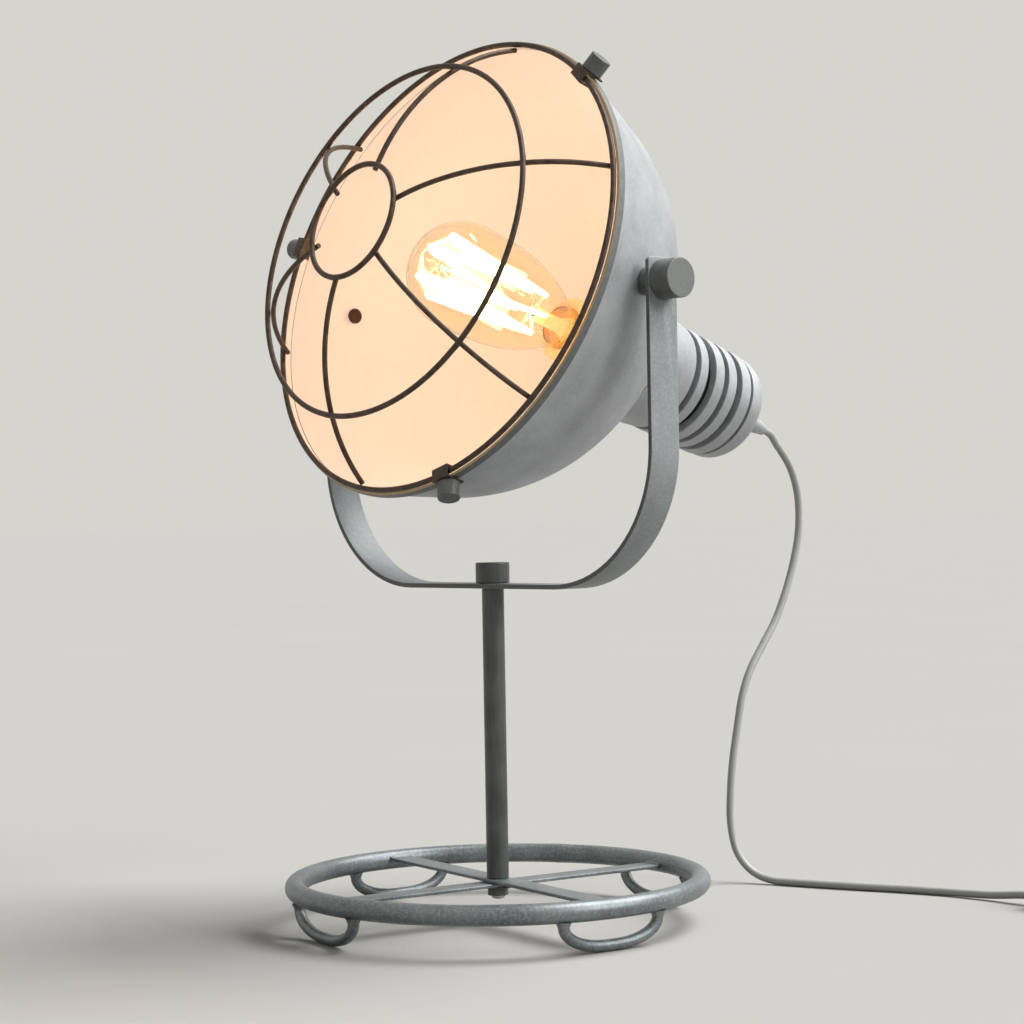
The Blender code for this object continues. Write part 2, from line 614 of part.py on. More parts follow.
def make_pivot(head, metal, dark_metal):
    """The bolts and spacers that carry the shade between the yoke's arms."""
    sag = RIM_RADIUS * (1 - math.cos(math.pi / SHADE_SEGMENTS))
    head_edge = PIVOT_BOLT_HEAD_RADIUS
    bolt_seat = skirt_sideways(-head_edge, -head_edge, SHADE_WALL) - sag - CONTACT_GAP
    bolt_end = YOKE_HALF_SPAN + PIVOT_KNOB_BORE_DEPTH
    head_low = bolt_seat - PIVOT_BOLT_HEAD_HEIGHT
    head_round = PIVOT_BOLT_HEAD_ROUND
    bolt = [
        (0, head_low), (head_edge - head_round, head_low), (head_edge, head_low + head_round),
        (head_edge, bolt_seat), (PIVOT_BOLT_RADIUS, bolt_seat), (PIVOT_BOLT_RADIUS, bolt_end), (0, bolt_end),
    ]
    bolt_mesh = turned("pivot_bolt", bolt, BOLT_SIDES, closed=False)
    yoke_face = YOKE_HALF_SPAN - YOKE_THICKNESS - CONTACT_GAP
    for name, sign in (("right", 1), ("left", -1)):
        place(bolt_mesh, f"pivot_bolt_{name}", dark_metal, head, rotation=(0, sign * math.pi / 2, 0))
        bm = bmesh.new()
        loops = []
        for radius, at_yoke in (
            (PIVOT_BOLT_RADIUS + CONTACT_GAP, False), (PIVOT_SPACER_RADIUS, False),
            (PIVOT_SPACER_RADIUS, True), (PIVOT_BOLT_RADIUS + CONTACT_GAP, True),
        ):
            loop = []
            for k in range(ROUND_SIDES):
                across = radius * math.cos(math.tau * k / ROUND_SIDES)
                along = radius * math.sin(math.tau * k / ROUND_SIDES)
                seat = skirt_sideways(across, along) + CONTACT_GAP / math.cos(SKIRT_SLOPE)
                loop.append(bm.verts.new((sign * (yoke_face if at_yoke else seat), across, along)))
            loops.append(loop)
        for low, high in zip(loops, loops[1:] + loops[:1]):
            for k in range(ROUND_SIDES):
                nxt = (k + 1) % ROUND_SIDES
                bm.faces.new((low[k], low[nxt], high[nxt], high[k]))
        place(finished(bm, f"pivot_spacer_{name}"), f"pivot_spacer_{name}", metal, head)


def clip_sizes():
    """Radial seats of a clip and of its screw, and the clip's inner top."""
    outer = HEM_RADIUS + CONTACT_GAP
    wire_inside = (GRILL_OUTER_RADIUS - GRILL_RING_ROD_RADIUS) * math.cos(math.pi / GRILL_OUTER_SEGMENTS)
    inner = math.sqrt(wire_inside ** 2 - (CLIP_WIDTH / 2) ** 2) - CONTACT_GAP
    top = GRILL_OUTER_AXIAL + GRILL_RING_ROD_RADIUS + CONTACT_GAP
    screw_axial = HEM_FRONT_AXIAL - HEM_ROUND - THUMB_SHANK_RADIUS
    return outer, inner, top, screw_axial


def make_shade(axis, metal, dark_metal):
    """The spun shade, its rolled hem, the clips and the thumb screws that press on the hem."""
    stations = shade_stations()
    front = stations[0]
    rear = stations[-1]
    outline = [(radius, axial) for radius, axial, slope in stations]
    outline.append((rear[0] - SHADE_WALL / math.cos(rear[2]), rear[1]))
    for radius, axial, slope in reversed(stations[1:-1]):
        outline.append((radius - SHADE_WALL * math.cos(slope), axial + SHADE_WALL * math.sin(slope)))
    outline.append((front[0] - SHADE_WALL / math.cos(front[2]), front[1]))
    shade = place(turned("shade", outline, SHADE_SEGMENTS), "shade", metal, axis)
    hem_bore = HEM_RADIUS - HEM_THICKNESS
    hem = [
        (hem_bore, HEM_REAR_AXIAL), (HEM_RADIUS - HEM_ROUND, HEM_REAR_AXIAL),
        (HEM_RADIUS, HEM_REAR_AXIAL + HEM_ROUND), (HEM_RADIUS, HEM_FRONT_AXIAL - HEM_ROUND),
        (HEM_RADIUS - HEM_ROUND, HEM_FRONT_AXIAL), (hem_bore + HEM_ROUND, HEM_FRONT_AXIAL),
        (hem_bore, HEM_FRONT_AXIAL - HEM_ROUND),
    ]
    place(turned("rim_bead", hem, SHADE_SEGMENTS), "rim_bead", metal, axis)

    reach = RIM_RADIUS + CUT_OVERRUN
    bolt_bore = solid_outline(PIVOT_BOLT_RADIUS + CONTACT_GAP, -reach, reach)
    bolt_hole = turned("bolt_hole", bolt_bore, BOLT_SIDES, closed=False)
    cut(shade, bolt_hole, "shade_pivot_cut", axis, (0, -HEAD_AXIS_RISE, 0), (0, math.pi / 2, 0))

    outer, inner, top, screw_axial = clip_sizes()
    low = top - CLIP_OUTER_LENGTH
    hook = top - CLIP_INNER_LENGTH
    shape = [
        (outer, low), (outer, top), (inner, top), (inner, hook),
        (inner - CLIP_THICKNESS, hook), (inner - CLIP_THICKNESS, top + CLIP_THICKNESS),
        (outer + CLIP_THICKNESS, top + CLIP_THICKNESS), (outer + CLIP_THICKNESS, low),
    ]
    bm = bmesh.new()
    verts = [bm.verts.new((across, -CLIP_WIDTH / 2, along)) for across, along in shape]
    face = bm.faces.new(verts)
    grown = bmesh.ops.extrude_face_region(bm, geom=[face])
    moved = [item for item in grown["geom"] if isinstance(item, bmesh.types.BMVert)]
    bmesh.ops.translate(bm, verts=moved, vec=(0, CLIP_WIDTH, 0))
    clip_mesh = finished(bm, "grill_clip")

    screw_base = outer + CLIP_THICKNESS + CONTACT_GAP
    screw_top = screw_base + THUMB_LENGTH
    screw = [
        (0, outer), (THUMB_SHANK_RADIUS, outer),
        (THUMB_SHANK_RADIUS, screw_base), (THUMB_RADIUS, screw_base),
        (THUMB_RADIUS, screw_top - THUMB_CHAMFER), (THUMB_RADIUS - THUMB_CHAMFER, screw_top), (0, screw_top),
    ]
    screw_mesh = turned("thumb_screw", screw, closed=False)
    bore = solid_outline(THUMB_SHANK_RADIUS + CONTACT_GAP, outer - CONTACT_GAP, screw_base)
    hole = turned("screw_hole", bore, BOLT_SIDES, closed=False)
    for i in range(CLIP_COUNT):
        frame = radial_frame(f"clip_frame_{i + 1}", axis, CLIP_PHASE + math.tau * i / CLIP_COUNT)
        clip = place(clip_mesh, f"grill_clip_{i + 1}", dark_metal, frame)
        place(screw_mesh, f"thumb_screw_{i + 1}", dark_metal, frame, (0, 0, screw_axial), (0, math.pi / 2, 0))
        cut(clip, hole, f"clip_cut_{i + 1}", frame, (0, 0, screw_axial), (0, math.pi / 2, 0))


def circle_through(first, second, third):
    """Middle of the circle through three flat points."""
    a, b = second - first, third - first
    twice_area = 2 * (a.x * b.y - a.y * b.x)
    across = b.y * a.length_squared - a.y * b.length_squared
    along = a.x * b.length_squared - b.x * a.length_squared
    return first + Vector((across, along)) / twice_area


def make_grill(axis, wire):
    """Three wire rings joined by ribs bent to one arc that lies behind them."""
    outer = Vector((GRILL_OUTER_RADIUS, GRILL_OUTER_AXIAL))
    middle = Vector((GRILL_MID_RADIUS, GRILL_MID_AXIAL))
    centre = Vector((GRILL_CENTRE_RADIUS, GRILL_CENTRE_AXIAL))
    rings = (("outer", outer, GRILL_OUTER_SEGMENTS), ("middle", middle, GRILL_OUTER_SEGMENTS),
             ("centre", centre, GRILL_CENTRE_SEGMENTS))
    grill = radial_frame("grill_frame", axis, GRILL_PHASE)
    for name, spot, segments in rings:
        outline = ring_outline(spot.x, spot.y, GRILL_RING_ROD_RADIUS, WIRE_SIDES)
        ring = turned(f"grill_ring_{name}", outline, segments)
        place(ring, f"grill_ring_{name}", wire, grill)
    hub = circle_through(outer, middle, centre)
    bow = (outer - hub).length - GRILL_RING_ROD_RADIUS - GRILL_RIB_ROD_RADIUS - CONTACT_GAP
    swings = [math.atan2(spot.y - hub.y, spot.x - hub.x) for spot in (outer, middle, centre)]
    swings.append(math.acos((GRILL_TIP_RADIUS - hub.x) / bow))
    path = []
    for low, high, steps in zip(swings, swings[1:], GRILL_RIB_STEPS):
        for i in range(steps):
            swing = low + (high - low) * i / steps
            path.append(Vector((hub.x + bow * math.cos(swing), 0, hub.y + bow * math.sin(swing))))
    path.append(Vector((GRILL_TIP_RADIUS, 0, hub.y + bow * math.sin(swings[-1]))))
    rib = rod("grill_rib", path, GRILL_RIB_ROD_RADIUS, (0, 1, 0), WIRE_SIDES)
    for i in range(GRILL_RIBS):
        place(rib, f"grill_rib_{i + 1}", wire, grill, rotation=(0, 0, -math.tau * i / GRILL_RIBS))


def make_handle(axis, metal, dark):
    """Neck cone, dark core with four fins, domed cap and the cord's gland."""
    tube_seat = TUBE_RADIUS + CONTACT_GAP
    neck = [
        (NECK_FRONT_RADIUS, NECK_FRONT_AXIAL), (NECK_REAR_RADIUS, NECK_REAR_AXIAL),
        (tube_seat, NECK_REAR_AXIAL), (tube_seat, NECK_REAR_AXIAL + NECK_WALL),
        (NECK_REAR_RADIUS - NECK_WALL, NECK_REAR_AXIAL + NECK_WALL),
        (NECK_FRONT_RADIUS - NECK_WALL, NECK_FRONT_AXIAL),
    ]
    place(turned("neck", neck, HANDLE_SIDES), "neck", metal, axis)

    core_rear = CAP_FRONT_AXIAL + CONTACT_GAP
    core = tube_outline(CORE_RADIUS, CORE_BORE_RADIUS, core_rear, NECK_REAR_AXIAL - CONTACT_GAP)
    place(turned("handle_core", core, HANDLE_SIDES), "handle_core", dark, axis)
    front = NECK_REAR_AXIAL
    bands = ((GROOVE_1, FIN_1), (GROOVE_2, FIN_2), (GROOVE_3, FIN_3), (GROOVE_4, FIN_4))
    for i, (groove, fin) in enumerate(bands):
        high = front - groove
        low = high - fin
        bore = CORE_RADIUS + CONTACT_GAP
        ring = [
            (bore, low), (FIN_RADIUS - FIN_CHAMFER, low), (FIN_RADIUS, low + FIN_CHAMFER),
            (FIN_RADIUS, high - FIN_CHAMFER), (FIN_RADIUS - FIN_CHAMFER, high), (bore, high),
        ]
        place(turned(f"fin_{i + 1}", ring, HANDLE_SIDES), f"fin_{i + 1}", metal, axis)
        front = low

    lead_hole = LEAD_RADIUS + CONTACT_GAP
    band_rear = CAP_FRONT_AXIAL - CAP_BAND
    cap = [(CAP_HOLLOW_RADIUS, CAP_FRONT_AXIAL), (CAP_RADIUS, CAP_FRONT_AXIAL)]
    flat = GLAND_BASE_RADIUS
    for i in range(CAP_DOME_STEPS + 1):
        swing = math.pi / 2 * i / CAP_DOME_STEPS
        cap.append((flat + (CAP_RADIUS - flat) * math.cos(swing), band_rear - CAP_DOME * math.sin(swing)))
    hollow_end = CAP_REAR_AXIAL + CAP_END_WALL
    cap += [(lead_hole, CAP_REAR_AXIAL), (lead_hole, hollow_end), (CAP_HOLLOW_RADIUS, hollow_end)]
    place(turned("end_cap", cap, HANDLE_SIDES), "end_cap", metal, axis)

    gland_front = CAP_REAR_AXIAL - CONTACT_GAP
    gland = [
        (0, GLAND_REAR_AXIAL), (GLAND_TIP_RADIUS, GLAND_REAR_AXIAL),
        (GLAND_BASE_RADIUS, gland_front - GLAND_COLLAR), (GLAND_BASE_RADIUS, gland_front), (0, gland_front),
    ]
    place(turned("cord_gland", gland, closed=False), "cord_gland", metal, axis)


def make_lampholder(axis, glazed, dark, metal):
    """Threaded tube through the neck's floor, the lampholder on it and the lead inside."""
    tube_front = HOLDER_REAR_AXIAL + HOLDER_TUBE_SINK
    tube_seat = TUBE_RADIUS + CONTACT_GAP
    well = BULB_CAP_RADIUS + CONTACT_GAP
    floor = BULB_REAR_AXIAL - CONTACT_GAP
    holder = [
        (0, tube_front + CONTACT_GAP), (tube_seat, tube_front + CONTACT_GAP),
        (tube_seat, HOLDER_REAR_AXIAL), (HOLDER_RADIUS - HOLDER_LIP, HOLDER_REAR_AXIAL),
        (HOLDER_RADIUS, HOLDER_REAR_AXIAL + HOLDER_LIP), (HOLDER_RADIUS, HOLDER_FRONT_AXIAL - HOLDER_LIP),
        (HOLDER_RADIUS - HOLDER_LIP, HOLDER_FRONT_AXIAL), (well, HOLDER_FRONT_AXIAL),
        (well, floor), (0, floor),
    ]
    place(turned("lampholder", holder, closed=False), "lampholder", glazed, axis)
    tube = tube_outline(TUBE_RADIUS, TUBE_BORE_RADIUS, tube_front - TUBE_LENGTH, tube_front)
    place(turned("holder_tube", tube, BOLT_SIDES), "holder_tube", metal, axis)
    lead = solid_outline(LEAD_RADIUS, CAP_REAR_AXIAL, tube_front)
    place(turned("inner_lead", lead, BOLT_SIDES, closed=False), "inner_lead", dark, axis)


def bulb_taper(share):
    """Outer radius of the glass from its widest place (0) back to its neck (1)."""
    return BULB_RADIUS - (BULB_RADIUS - BULB_NECK_RADIUS) * share ** BULB_TAPER_POWER


def glass_dome(radius):
    """Front of the glass as a quarter circle, from the axis out to its widest place."""
    swings = [math.pi / 2 * i / BULB_DOME_STEPS for i in range(BULB_DOME_STEPS + 1)]
    return [(radius * math.sin(swing), BULB_CENTRE_AXIAL + radius * math.cos(swing)) for swing in swings]


def make_bulb(axis, glass, brass, glow):
    """Glass envelope, screw cap, glass mount, squirrel-cage filament and its hooks."""
    cap_floor = BULB_REAR_AXIAL + BULB_CONTACT_LENGTH
    cap_front = cap_floor + BULB_CAP_LENGTH
    taper = []
    for i in range(1, BULB_TAPER_STEPS + 1):
        share = i / BULB_TAPER_STEPS
        taper.append((bulb_taper(share), BULB_CENTRE_AXIAL - (BULB_CENTRE_AXIAL - cap_front) * share))
    taper.append((BULB_NECK_RADIUS, cap_front - BULB_NECK_SINK))
    inner = glass_dome(BULB_RADIUS - BULB_WALL) + [(radius - BULB_WALL, axial) for radius, axial in taper]
    envelope = glass_dome(BULB_RADIUS) + taper + list(reversed(inner))
    place(turned("bulb_glass", envelope, BULB_SEGMENTS, closed=False), "bulb_glass", glass, axis)

    bore = BULB_NECK_RADIUS + CONTACT_GAP
    inside = cap_floor + BULB_CAP_WALL
    cap = [
        (0, BULB_REAR_AXIAL), (BULB_CONTACT_RADIUS, BULB_REAR_AXIAL), (BULB_CONTACT_RADIUS, cap_floor),
        (BULB_CAP_RADIUS, cap_floor), (BULB_CAP_RADIUS, cap_front),
        (bore, cap_front), (bore, inside), (0, inside),
    ]
    place(turned("bulb_cap", cap, BULB_SEGMENTS, closed=False), "bulb_cap", brass, axis)

    mount_low = inside + CONTACT_GAP
    mount_high = cap_front + MOUNT_STEM_REACH
    flare = BULB_NECK_RADIUS - BULB_WALL - CONTACT_GAP
    mount = [
        (0, mount_low), (flare, mount_low), (flare, mount_low + MOUNT_FLARE_LENGTH),
        (MOUNT_STEM_RADIUS, cap_front), (MOUNT_STEM_RADIUS, mount_high), (0, mount_high),
    ]
    place(turned("bulb_mount", mount, BOLT_SIDES, closed=False), "bulb_mount", glass, axis)

    bends = 2 * CAGE_STRANDS
    middle = CAGE_FRONT_AXIAL - CAGE_LENGTH / 2
    path = []
    for i in range(2 * bends - 1):
        turn = math.tau * (i + 1) / (2 * bends)
        swing = math.cos(math.pi * i / 2)
        radius = (CAGE_FRONT_RADIUS + CAGE_REAR_RADIUS + (CAGE_FRONT_RADIUS - CAGE_REAR_RADIUS) * swing) / 2
        along = middle + CAGE_LENGTH / 2 * swing
        path.append(Vector((radius * math.cos(turn), radius * math.sin(turn), along)))
    path = smooth_path(path, CAGE_LENGTH / CAGE_STEPS_PER_STRAND)
    place(rod("filament", path, CAGE_ROD_RADIUS, (1, 0, 0), CAGE_SIDES), "filament", glow, axis)

    half_hub = CAGE_HUB_LENGTH / 2
    rear_hub = CAGE_FRONT_AXIAL - CAGE_LENGTH
    spine = [
        (0, mount_high + CONTACT_GAP), (CAGE_ROD_RADIUS, mount_high + CONTACT_GAP),
        (CAGE_ROD_RADIUS, rear_hub - half_hub), (CAGE_HUB_RADIUS, rear_hub - half_hub),
        (CAGE_HUB_RADIUS, rear_hub + half_hub), (CAGE_ROD_RADIUS, rear_hub + half_hub),
        (CAGE_ROD_RADIUS, CAGE_FRONT_AXIAL - half_hub), (CAGE_HUB_RADIUS, CAGE_FRONT_AXIAL - half_hub),
        (CAGE_HUB_RADIUS, CAGE_FRONT_AXIAL + half_hub), (0, CAGE_FRONT_AXIAL + half_hub),
    ]
    hooks = turned("filament_hooks", spine, bends, closed=False)
    bm = bmesh.new()
    bm.from_mesh(hooks)
    for face in [face for face in bm.faces if is_hook_seat(face, rear_hub)]:
        centre = face.calc_center_median()
        outward = Vector((centre.x, centre.y, 0)).normalized()
        bend_radius = CAGE_REAR_RADIUS if centre.z < middle else CAGE_FRONT_RADIUS
        reach = bend_radius - CAGE_ROD_RADIUS - CONTACT_GAP
        tip = bmesh.ops.extrude_discrete_faces(bm, faces=[face])["faces"][0]
        for vert in tip.verts:
            spread = (vert.co - centre) * CAGE_HOOK_TAPER_SHARE
            vert.co = outward * reach + Vector((0, 0, centre.z)) + spread
    place(finished(bm, "filament_hooks"), "filament_hooks", glass, axis)


def is_hook_seat(face, rear_hub):
    """Whether a hub's side face carries a hook: each hub has them at every other side."""
    centre = face.calc_center_median()
    flat = Vector((centre.x, centre.y))
    if abs(face.normal.z) > math.sin(SMOOTH_ANGLE) or flat.length < (CAGE_HUB_RADIUS + CAGE_ROD_RADIUS) / 2:
        return False
    side = round((math.atan2(flat.y, flat.x) % math.tau) / (math.pi / CAGE_STRANDS) - 0.5)
    at_rear = abs(centre.z - rear_hub) < CAGE_HUB_LENGTH
    return side % 2 == (1 if at_rear else 0)


def head_point(axial):
    """A place on the head's axis as it stands, from the stem's foot."""
    forward = Vector((0, -math.cos(HEAD_TILT), math.sin(HEAD_TILT)))
    upward = Vector((0, math.sin(HEAD_TILT), math.cos(HEAD_TILT)))
    return Vector((0, 0, PIVOT_HEIGHT)) + forward * axial + upward * HEAD_AXIS_RISE


def on_table(path):
    """The path, nowhere lower than the cord lies."""
    return [Vector((point.x, point.y, max(point.z, CORD_RADIUS))) for point in path]


def route_length(path):
    """Length of a path."""
    return sum((high - low).length for low, high in zip(path, path[1:]))


def coil_loops(centre):
    """Loops of the coil: in a layer that spirals in, and back out in one on top."""
    loops = []
    climb_start = (COIL_TURNS - COIL_CLIMB_TURNS) / 2
    for i in range(round(COIL_TURNS * COIL_POINTS_PER_TURN) + 1):
        turns = i / COIL_POINTS_PER_TURN
        radius = COIL_OUTER_RADIUS - COIL_PITCH * min(turns, COIL_TURNS - turns)
        climb = min(1, max(0, (turns - climb_start) / COIL_CLIMB_TURNS))
        angle = math.pi / 2 - math.tau * turns
        across = Vector((math.cos(angle), math.sin(angle), 0)) * radius
        loops.append(centre + across + Vector((0, 0, COIL_LAYER_RISE * climb)))
    return loops


def least_gap(loops):
    """Least clear distance between turns, measured on the points half a turn or more apart."""
    apart = COIL_POINTS_PER_TURN // 2
    nearest = min(
        (loops[i] - loops[j]).length for i in range(len(loops)) for j in range(i + apart, len(loops))
    )
    return nearest - CORD_DIAMETER


def make_tie(root, centre, rubber):
    """The strap round the coil's front side."""
    per_side = math.pi / COIL_POINTS_PER_TURN
    half = TIE_WIDTH / 2
    inside = (COIL_OUTER_RADIUS - COIL_PITCH * COIL_TURNS / 2 - CORD_RADIUS) * math.cos(per_side)
    outside = COIL_OUTER_RADIUS + CORD_RADIUS
    near = math.sqrt(inside ** 2 - half ** 2) - CONTACT_GAP
    far = outside + CONTACT_GAP
    low = centre.z - CORD_RADIUS - CONTACT_GAP
    high = centre.z + COIL_LAYER_RISE + CORD_RADIUS + CONTACT_GAP
    corner = CORD_RADIUS
    bm = bmesh.new()
    rings = []
    for back, up, first in (
        (-near - corner, high - corner, 0), (-far + corner, high - corner, 1),
        (-far + corner, low + corner, 2), (-near - corner, low + corner, 3),
    ):
        for i in range(TIE_CORNER_STEPS + 1):
            swing = math.pi / 2 * (first + i / TIE_CORNER_STEPS)
            way = Vector((0, math.cos(swing), math.sin(swing)))
            spot = Vector((0, back, up)) + way * corner
            side = Vector((half, 0, 0))
            skin = way * TIE_THICKNESS
            section = (spot - side, spot + side, spot + skin + side, spot + skin - side)
            rings.append([bm.verts.new(corner_point) for corner_point in section])
    for low_ring, high_ring in zip(rings, rings[1:] + rings[:1]):
        for k in range(4):
            bm.faces.new((low_ring[k], low_ring[(k + 1) % 4], high_ring[(k + 1) % 4], high_ring[k]))
    place(finished(bm, "coil_tie"), "coil_tie", rubber, root, (centre.x, centre.y, 0))


def make_switch(root, plastic, rocker_plastic):
    """In-line switch on the table with its tilting rocker."""
    body = box("switch_body", (SWITCH_LENGTH, SWITCH_WIDTH, SWITCH_HEIGHT), SWITCH_CORNER, 3)
    spot = Vector((SWITCH_RIGHT, SWITCH_BACK, SWITCH_HEIGHT / 2))
    switch = place(body, "switch_body", plastic, root, spot)
    rocker_low = SWITCH_HEIGHT + ROCKER_PROUD - ROCKER_HEIGHT
    pocket_low = rocker_low - ROCKER_SINK
    pocket_high = SWITCH_HEIGHT + CUT_OVERRUN
    pocket_size = (ROCKER_LENGTH + 2 * ROCKER_PLAY, ROCKER_WIDTH + 2 * CONTACT_GAP, pocket_high - pocket_low)
    pocket_spot = (SWITCH_RIGHT, SWITCH_BACK, (pocket_high + pocket_low) / 2)
    cut(switch, box("rocker_pocket", pocket_size), "rocker_pocket", root, pocket_spot)
    rocker = box("switch_rocker", (ROCKER_LENGTH, ROCKER_WIDTH, ROCKER_HEIGHT), ROCKER_EDGE)
    rocker_spot = (SWITCH_RIGHT, SWITCH_BACK, rocker_low + ROCKER_HEIGHT / 2)
    place(rocker, "switch_rocker", rocker_plastic, root, rocker_spot, (0, ROCKER_TILT, 0))


def make_plug(root, spot, plastic, bright_metal):
    """Two-pin plug lying beside the coil, its pins pointing forward."""
    body_back = spot.y - PLUG_TAIL_LENGTH
    body_spot = (spot.x, body_back - PLUG_LENGTH / 2, spot.z)
    body = box("plug_body", (PLUG_WIDTH, PLUG_LENGTH, PLUG_HEIGHT), PLUG_EDGE)
    plug = place(body, "plug_body", plastic, root, body_spot)
    tail = [
        (0, 0), (CORD_RADIUS + CONTACT_GAP, 0), (PLUG_TAIL_RADIUS, PLUG_TAIL_LENGTH),
        (PLUG_TAIL_RADIUS, PLUG_TAIL_LENGTH + CUT_OVERRUN), (0, PLUG_TAIL_LENGTH + CUT_OVERRUN),
    ]
    tail_mesh = turned("plug_tail", tail, BOLT_SIDES, closed=False)
    cut(plug, tail_mesh, "plug_tail", root, spot, (math.pi / 2, 0, 0), "UNION")
    pin = turned("plug_pin", solid_outline(PIN_RADIUS, 0, PIN_LENGTH, PIN_TIP), BOLT_SIDES, closed=False)
    pin_back = body_back - PLUG_LENGTH - CONTACT_GAP
    for number, side in ((1, -1), (2, 1)):
        pin_spot = (spot.x + side * PIN_SPACING / 2, pin_back, spot.z)
        place(pin, f"plug_pin_{number}", bright_metal, root, pin_spot, (math.pi / 2, 0, 0))


def make_cord(root, fabric, plastic, rocker_plastic, bright_metal, rubber):
    """The cord from the gland to its switch, its tied coil and the plug."""
    right = Vector((1, 0, 0))
    forward = Vector((0, -1, 0))
    start = head_point(GLAND_REAR_AXIAL - CONTACT_GAP)
    second = head_point(GLAND_REAR_AXIAL - CONTACT_GAP - CORD_DIAMETER)
    switch_in = Vector((SWITCH_RIGHT - SWITCH_LENGTH / 2 - CONTACT_GAP, SWITCH_BACK, CORD_ENTRY_HEIGHT))
    before_switch = switch_in - right * CORD_DIAMETER
    route = smooth_path([second, *CORD_ROUTE, before_switch], CORD_STEP, (second - start).normalized(), right)
    drop = [start] + on_table(route) + [switch_in]
    place(cord_curve("cord_drop", drop), "cord_drop", fabric, root)
    make_switch(root, plastic, rocker_plastic)

    switch_out = switch_in + right * (SWITCH_LENGTH + 2 * CONTACT_GAP)
    coil_start = Vector((switch_out.x + COIL_LEAD_LENGTH, SWITCH_BACK, COIL_HEIGHT))
    centre = coil_start - Vector((0, COIL_OUTER_RADIUS, 0))
    loops = coil_loops(centre)
    lead = smooth_path([switch_out + right * CORD_DIAMETER, loops[0]], CORD_DIAMETER, right, right)
    plug_spot = Vector((loops[-1].x, loops[-1].y - PLUG_LEAD_LENGTH, PLUG_HEIGHT / 2))
    plug_lead = smooth_path([loops[-1], plug_spot - forward * CORD_DIAMETER], CORD_DIAMETER, forward, forward)
    coil = [switch_out] + lead[:-1] + loops + plug_lead[1:] + [plug_spot]
    place(cord_curve("cord_coil", coil, 1), "cord_coil", fabric, root)
    make_tie(root, centre, rubber)
    make_plug(root, plug_spot + forward * CONTACT_GAP, plastic, bright_metal)
    print(f"least gap of the coil to itself: {least_gap(loops):.4f} m")
    print(f"length of the cord: {route_length(drop) + SWITCH_LENGTH + route_length(coil):.3f} m")


def make_lamp():
    """The whole lamp, from an emptied scene."""
    for old in list(bpy.data.objects):
        bpy.data.objects.remove(old)
    metal = material("mottled_metal", (0.27, 0.30, 0.30), 0.42, 1.0)
    dark_metal = material("dark_metal", (0.10, 0.10, 0.095), 0.40, 1.0)
    bright_metal = material("bright_metal", (0.45, 0.45, 0.44), 0.28, 1.0)
    wire = material("grill_wire", (0.085, 0.068, 0.052), 0.48, 1.0)
    black = material("black_plastic", (0.012, 0.012, 0.012), 0.45)
    glass = material("amber_glass", (0.90, 0.62, 0.34), 0.05)
    brass = material("brass", (0.60, 0.42, 0.18), 0.32, 1.0)
    glow = material("filament_glow", (1.0, 0.72, 0.38), 0.50)
    cream = material("cream_glaze", (0.80, 0.71, 0.56), 0.22)
    fabric = material("grey_cord", (0.31, 0.31, 0.28), 0.75)
    grey = material("grey_plastic", (0.26, 0.26, 0.24), 0.50)
    root = empty("lamp", location=(0, STEM_Y, 0))
    make_base(root, metal, dark_metal, bright_metal)
    head = make_yoke(root, metal, dark_metal)
    make_pivot(head, metal, dark_metal)
    axis = empty("head_axis", head, (0, HEAD_AXIS_RISE, 0))
    make_shade(axis, metal, dark_metal)
    make_grill(axis, wire)
    make_handle(axis, metal, black)
    make_lampholder(axis, cream, black, bright_metal)
    make_bulb(axis, glass, brass, glow)
    make_cord(root, fabric, grey, black, bright_metal, black)


make_lamp()
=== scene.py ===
import math

import bmesh
import bpy
from mathutils import Matrix, Vector


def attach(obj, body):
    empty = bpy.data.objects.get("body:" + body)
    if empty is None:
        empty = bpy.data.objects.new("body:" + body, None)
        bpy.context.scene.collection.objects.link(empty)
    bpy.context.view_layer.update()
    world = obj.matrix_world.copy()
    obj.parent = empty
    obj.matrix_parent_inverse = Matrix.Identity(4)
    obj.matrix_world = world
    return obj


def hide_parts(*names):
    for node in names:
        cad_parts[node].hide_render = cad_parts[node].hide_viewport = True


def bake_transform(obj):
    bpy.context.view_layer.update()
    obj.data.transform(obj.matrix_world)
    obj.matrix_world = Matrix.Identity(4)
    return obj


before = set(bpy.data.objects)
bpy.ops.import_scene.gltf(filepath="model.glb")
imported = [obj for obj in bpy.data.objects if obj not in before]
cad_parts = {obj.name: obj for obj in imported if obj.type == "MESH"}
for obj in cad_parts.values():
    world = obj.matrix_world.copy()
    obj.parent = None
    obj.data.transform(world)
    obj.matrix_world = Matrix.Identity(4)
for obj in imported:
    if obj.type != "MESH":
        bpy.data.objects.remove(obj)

for start_up in ("Cube", "Light", "Camera"):
    if start_up in bpy.data.objects:
        bpy.data.objects.remove(bpy.data.objects[start_up])
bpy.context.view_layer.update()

# Camera: stands low and in front of the lamp's right-hand side, a long way off through a long lens,
# so that the base ring is seen as a flat oval and the head from three quarters.
STEM_Y = -0.060136
bpy.ops.object.camera_add(
    location=(1.0163, STEM_Y - 0.9315, 0.2363),
    rotation=(math.radians(90.1999), math.radians(1.0103), math.radians(46.9944)),
)
camera = bpy.context.object
camera.name = "camera"
camera.data.lens = 82.36
camera.data.sensor_width = 36.0
bpy.context.scene.camera = camera
bpy.context.scene.view_settings.view_transform = "Standard"

